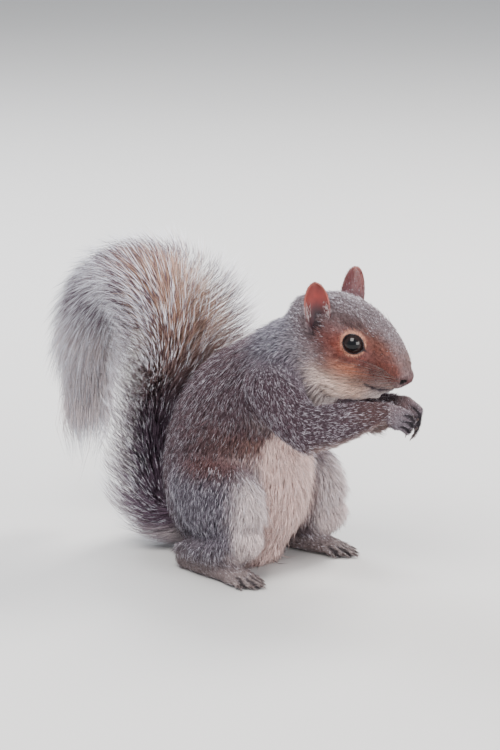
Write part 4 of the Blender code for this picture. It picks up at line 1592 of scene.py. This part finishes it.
def rod_finish():
    finish = Finish(tail_skin_material, 0.75)
    noise = finish.noise(900, 4)
    finish.bump(noise, 0.5, 0.0005)
    finish.paint(finish.ramp(noise, (0.3, tone(58, 46, 52)), (0.7, tone(86, 70, 76))))


rod_finish()
print("tail finished")

# %% [markdown]
# ## Ears, eyes and horn
# The ear's skin is painted red in its thin upper half, a painted glow for the light that comes
# through it, and painted dark in the hollow as shade. Subsurface scattering lets a little light
# in.
# The eye is near black with a brown iris and wet. Claws are dark horn, streaked with noise.

# %% Finish the ears, eyes, claws and whiskers
def ear_finish():
    finish = Finish(bpy.data.materials.new("ear_skin"), 0.5)
    finish.shader.inputs["Subsurface Weight"].default_value = 0.2
    finish.shader.inputs["Subsurface Scale"].default_value = 0.0012
    finish.shader.inputs["Subsurface Radius"].default_value = (1.0, 0.35, 0.2)
    up, edge = finish.value("up"), finish.value("edge")
    # The inside reddens from a dark base up to the thin upper half: a painted glow of light
    # shining through the ear.
    inner = finish.ramp(up, (0.1, tone(50, 30, 36)), (0.42, tone(84, 34, 36)),
                        (0.7, tone(122, 42, 38)), (1.0, tone(98, 36, 34)))
    # The hollow is painted near black as painted shade.
    inner = finish.mix(finish.value("hollow"), inner, tone(30, 18, 28))
    # The back of the ear reddens upwards in the same way, the same painted glow.
    outer = finish.ramp(up, (0.1, tone(70, 54, 60)), (0.5, tone(84, 44, 50)),
                        (1.0, tone(90, 36, 36)))
    colour = finish.mix(finish.value("inside"), outer, inner)
    rim = finish.ramp(up, (0.3, 0.0), (0.6, 0.3))
    colour = finish.mix(finish.times(edge, rim), colour, tone(170, 108, 96))
    veins = finish.noise(420, 5, (1, 1, 0.4))
    colour = finish.tint(colour, finish.ramp(veins, (0.35, 0.8), (0.65, 1.1)))
    finish.bump(finish.noise(2600, 2), 0.3, 0.0002)
    return finish.paint(colour)


def eye_finish():
    finish = Finish(bpy.data.materials.new("wet_eye"), 0.03)
    finish.shader.inputs["IOR"].default_value = 1.34
    off = finish.value("off")
    flecks = finish.noise(1600, 3)
    iris = finish.ramp(flecks, (0.3, tone(20, 14, 15)), (0.7, tone(34, 22, 20)))
    ring = finish.ramp(off, (0.42, 0.0), (0.55, 1.0), (0.8, 1.0), (0.95, 0.0))
    return finish.paint(finish.mix(ring, tone(8, 9, 13), iris))


def streaked_finish(made, roughness, low, high, scale):
    finish = Finish(made, roughness)
    return finish.paint(finish.ramp(finish.noise(scale, 3), (0.35, low), (0.65, high)))


ear_material, eye_material = ear_finish(), eye_finish()
for word in SIDES:
    ears[word].data.materials.append(ear_material)
    eyeballs[word].data.materials.append(eye_material)
streaked_finish(horn, 0.3, tone(38, 30, 32), tone(84, 70, 68), 1500)
streaked_finish(moist, 0.18, tone(24, 16, 18), tone(48, 34, 36), 1200)
streaked_finish(hair_shaft, 0.4, tone(40, 32, 34), tone(96, 84, 82), 300)
print("ears, eyes, horn, rims and whiskers finished")

# %% [markdown]
# ## What stands for what
# Each new piece rides on the model's one body. The skin stands for every flesh solid, the
# ears and eyeballs for theirs, and the tail's rod and hair for the tail's lengths. The solids
# stay behind, hidden. The solids stay behind for collision, and the record's finishes are
# named on the pieces.

# %% Tie the pieces to the frame
for group, slot_name in (
        ([skin, *coat.values()], "coat"), (ears.values(), "skin"), (eyeballs.values(), "eye"),
        (claws.values(), "claw"), ([tail_rod, *tail_coat.values()], "tail_hair")):
    for obj in group:
        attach(obj, BODY)
for obj in (*rims.values(), *whiskers.values()):
    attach(obj, BODY)
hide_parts(*FLESH)
for word in SIDES:
    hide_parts("ear_" + word)
    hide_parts("eye_" + word)
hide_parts("tail_root", "tail_rise", "tail_bend", "tail_tip")
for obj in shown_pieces():
    obj.data.calc_loop_triangles()

# %% [markdown]
# ## Floor, light and camera
# A plain pale floor and soft lamps show the coat best: a broad key from the front, a low
# warm fill, and two rims from behind to light the tips of the tail and ears. The camera stands
# at the animal's right front with a long lens, as one watches a shy animal from far off.

# %% Stage
CAMERA_TURN, CAMERA_RISE = 40, 14  # in degrees
CAMERA_FAR = 2.25
AIM = body_place(-12.5, 20.7, 95.8)


def look_back(obj, turn, rise, far):
    """Stands a lamp or camera off at a turn and a rise in degrees, aimed at the animal."""
    turn, rise = math.radians(turn), math.radians(rise)
    way = Vector((math.sin(turn) * math.cos(rise), -math.cos(turn) * math.cos(rise),
                  math.sin(rise)))
    obj.location = Vector(AIM) + way * far
    obj.rotation_euler = way.to_track_quat("Z", "Y").to_euler()


def area_lamp(name, turn, rise, far, size, power, colour):
    """A square lamp that looks at the animal. turn 0 is in front of the animal's right side."""
    lamp = bpy.data.lights.new(name, "AREA")
    lamp.size, lamp.energy, lamp.color = size, power, colour
    obj = new_object(name, lamp)
    look_back(obj, turn, rise, far)
    return obj


floor_bm = bmesh.new()
bmesh.ops.create_grid(floor_bm, x_segments=8, y_segments=8, size=15)
floor_mesh = bpy.data.meshes.new("floor")
floor_bm.to_mesh(floor_mesh)
floor_bm.free()
floor = new_object("floor", floor_mesh)
floor_finish = Finish(bpy.data.materials.new("pale_floor"), 0.9)
floor_mesh.materials.append(floor_finish.paint(
    floor_finish.ramp(floor_finish.noise(2, 2), (0.0, 0.50), (1.0, 0.56))))

world = bpy.data.worlds.new("studio")
world.use_nodes = True
world.node_tree.nodes["Background"].inputs["Color"].default_value = (0.92, 0.95, 1.0, 1)
world.node_tree.nodes["Background"].inputs["Strength"].default_value = 0.78
bpy.context.scene.world = world
area_lamp("key", 20, 50, 1.3, 0.7, 25, (1.0, 0.96, 0.92))
area_lamp("fill", 85, 7, 1.6, 0.9, 32, (1.0, 0.95, 0.92))
area_lamp("rim", 185, 45, 1.3, 0.6, 32, (1.0, 0.95, 0.9))
area_lamp("rim_behind", 250, 35, 1.4, 0.6, 20, (0.93, 0.96, 1.0))

camera_data = bpy.data.cameras.new("camera")
camera_data.lens, camera_data.sensor_width = 200, 36
camera_data.clip_start, camera_data.clip_end = 0.05, 60
camera = new_object("camera", camera_data)
look_back(camera, CAMERA_TURN, CAMERA_RISE, CAMERA_FAR)
bpy.context.scene.camera = camera
print("camera at", tuple(round(x, 3) for x in camera.location))

# %% [markdown]
# ## The solids' box
# The dressed model has to fill the same box as the solids, so the solids' box is printed.

# %% Print the solids' box and finish
bpy.context.view_layer.update()
print("solids", [[round(x / MM, 1) for x in corner] for corner in cad_box])
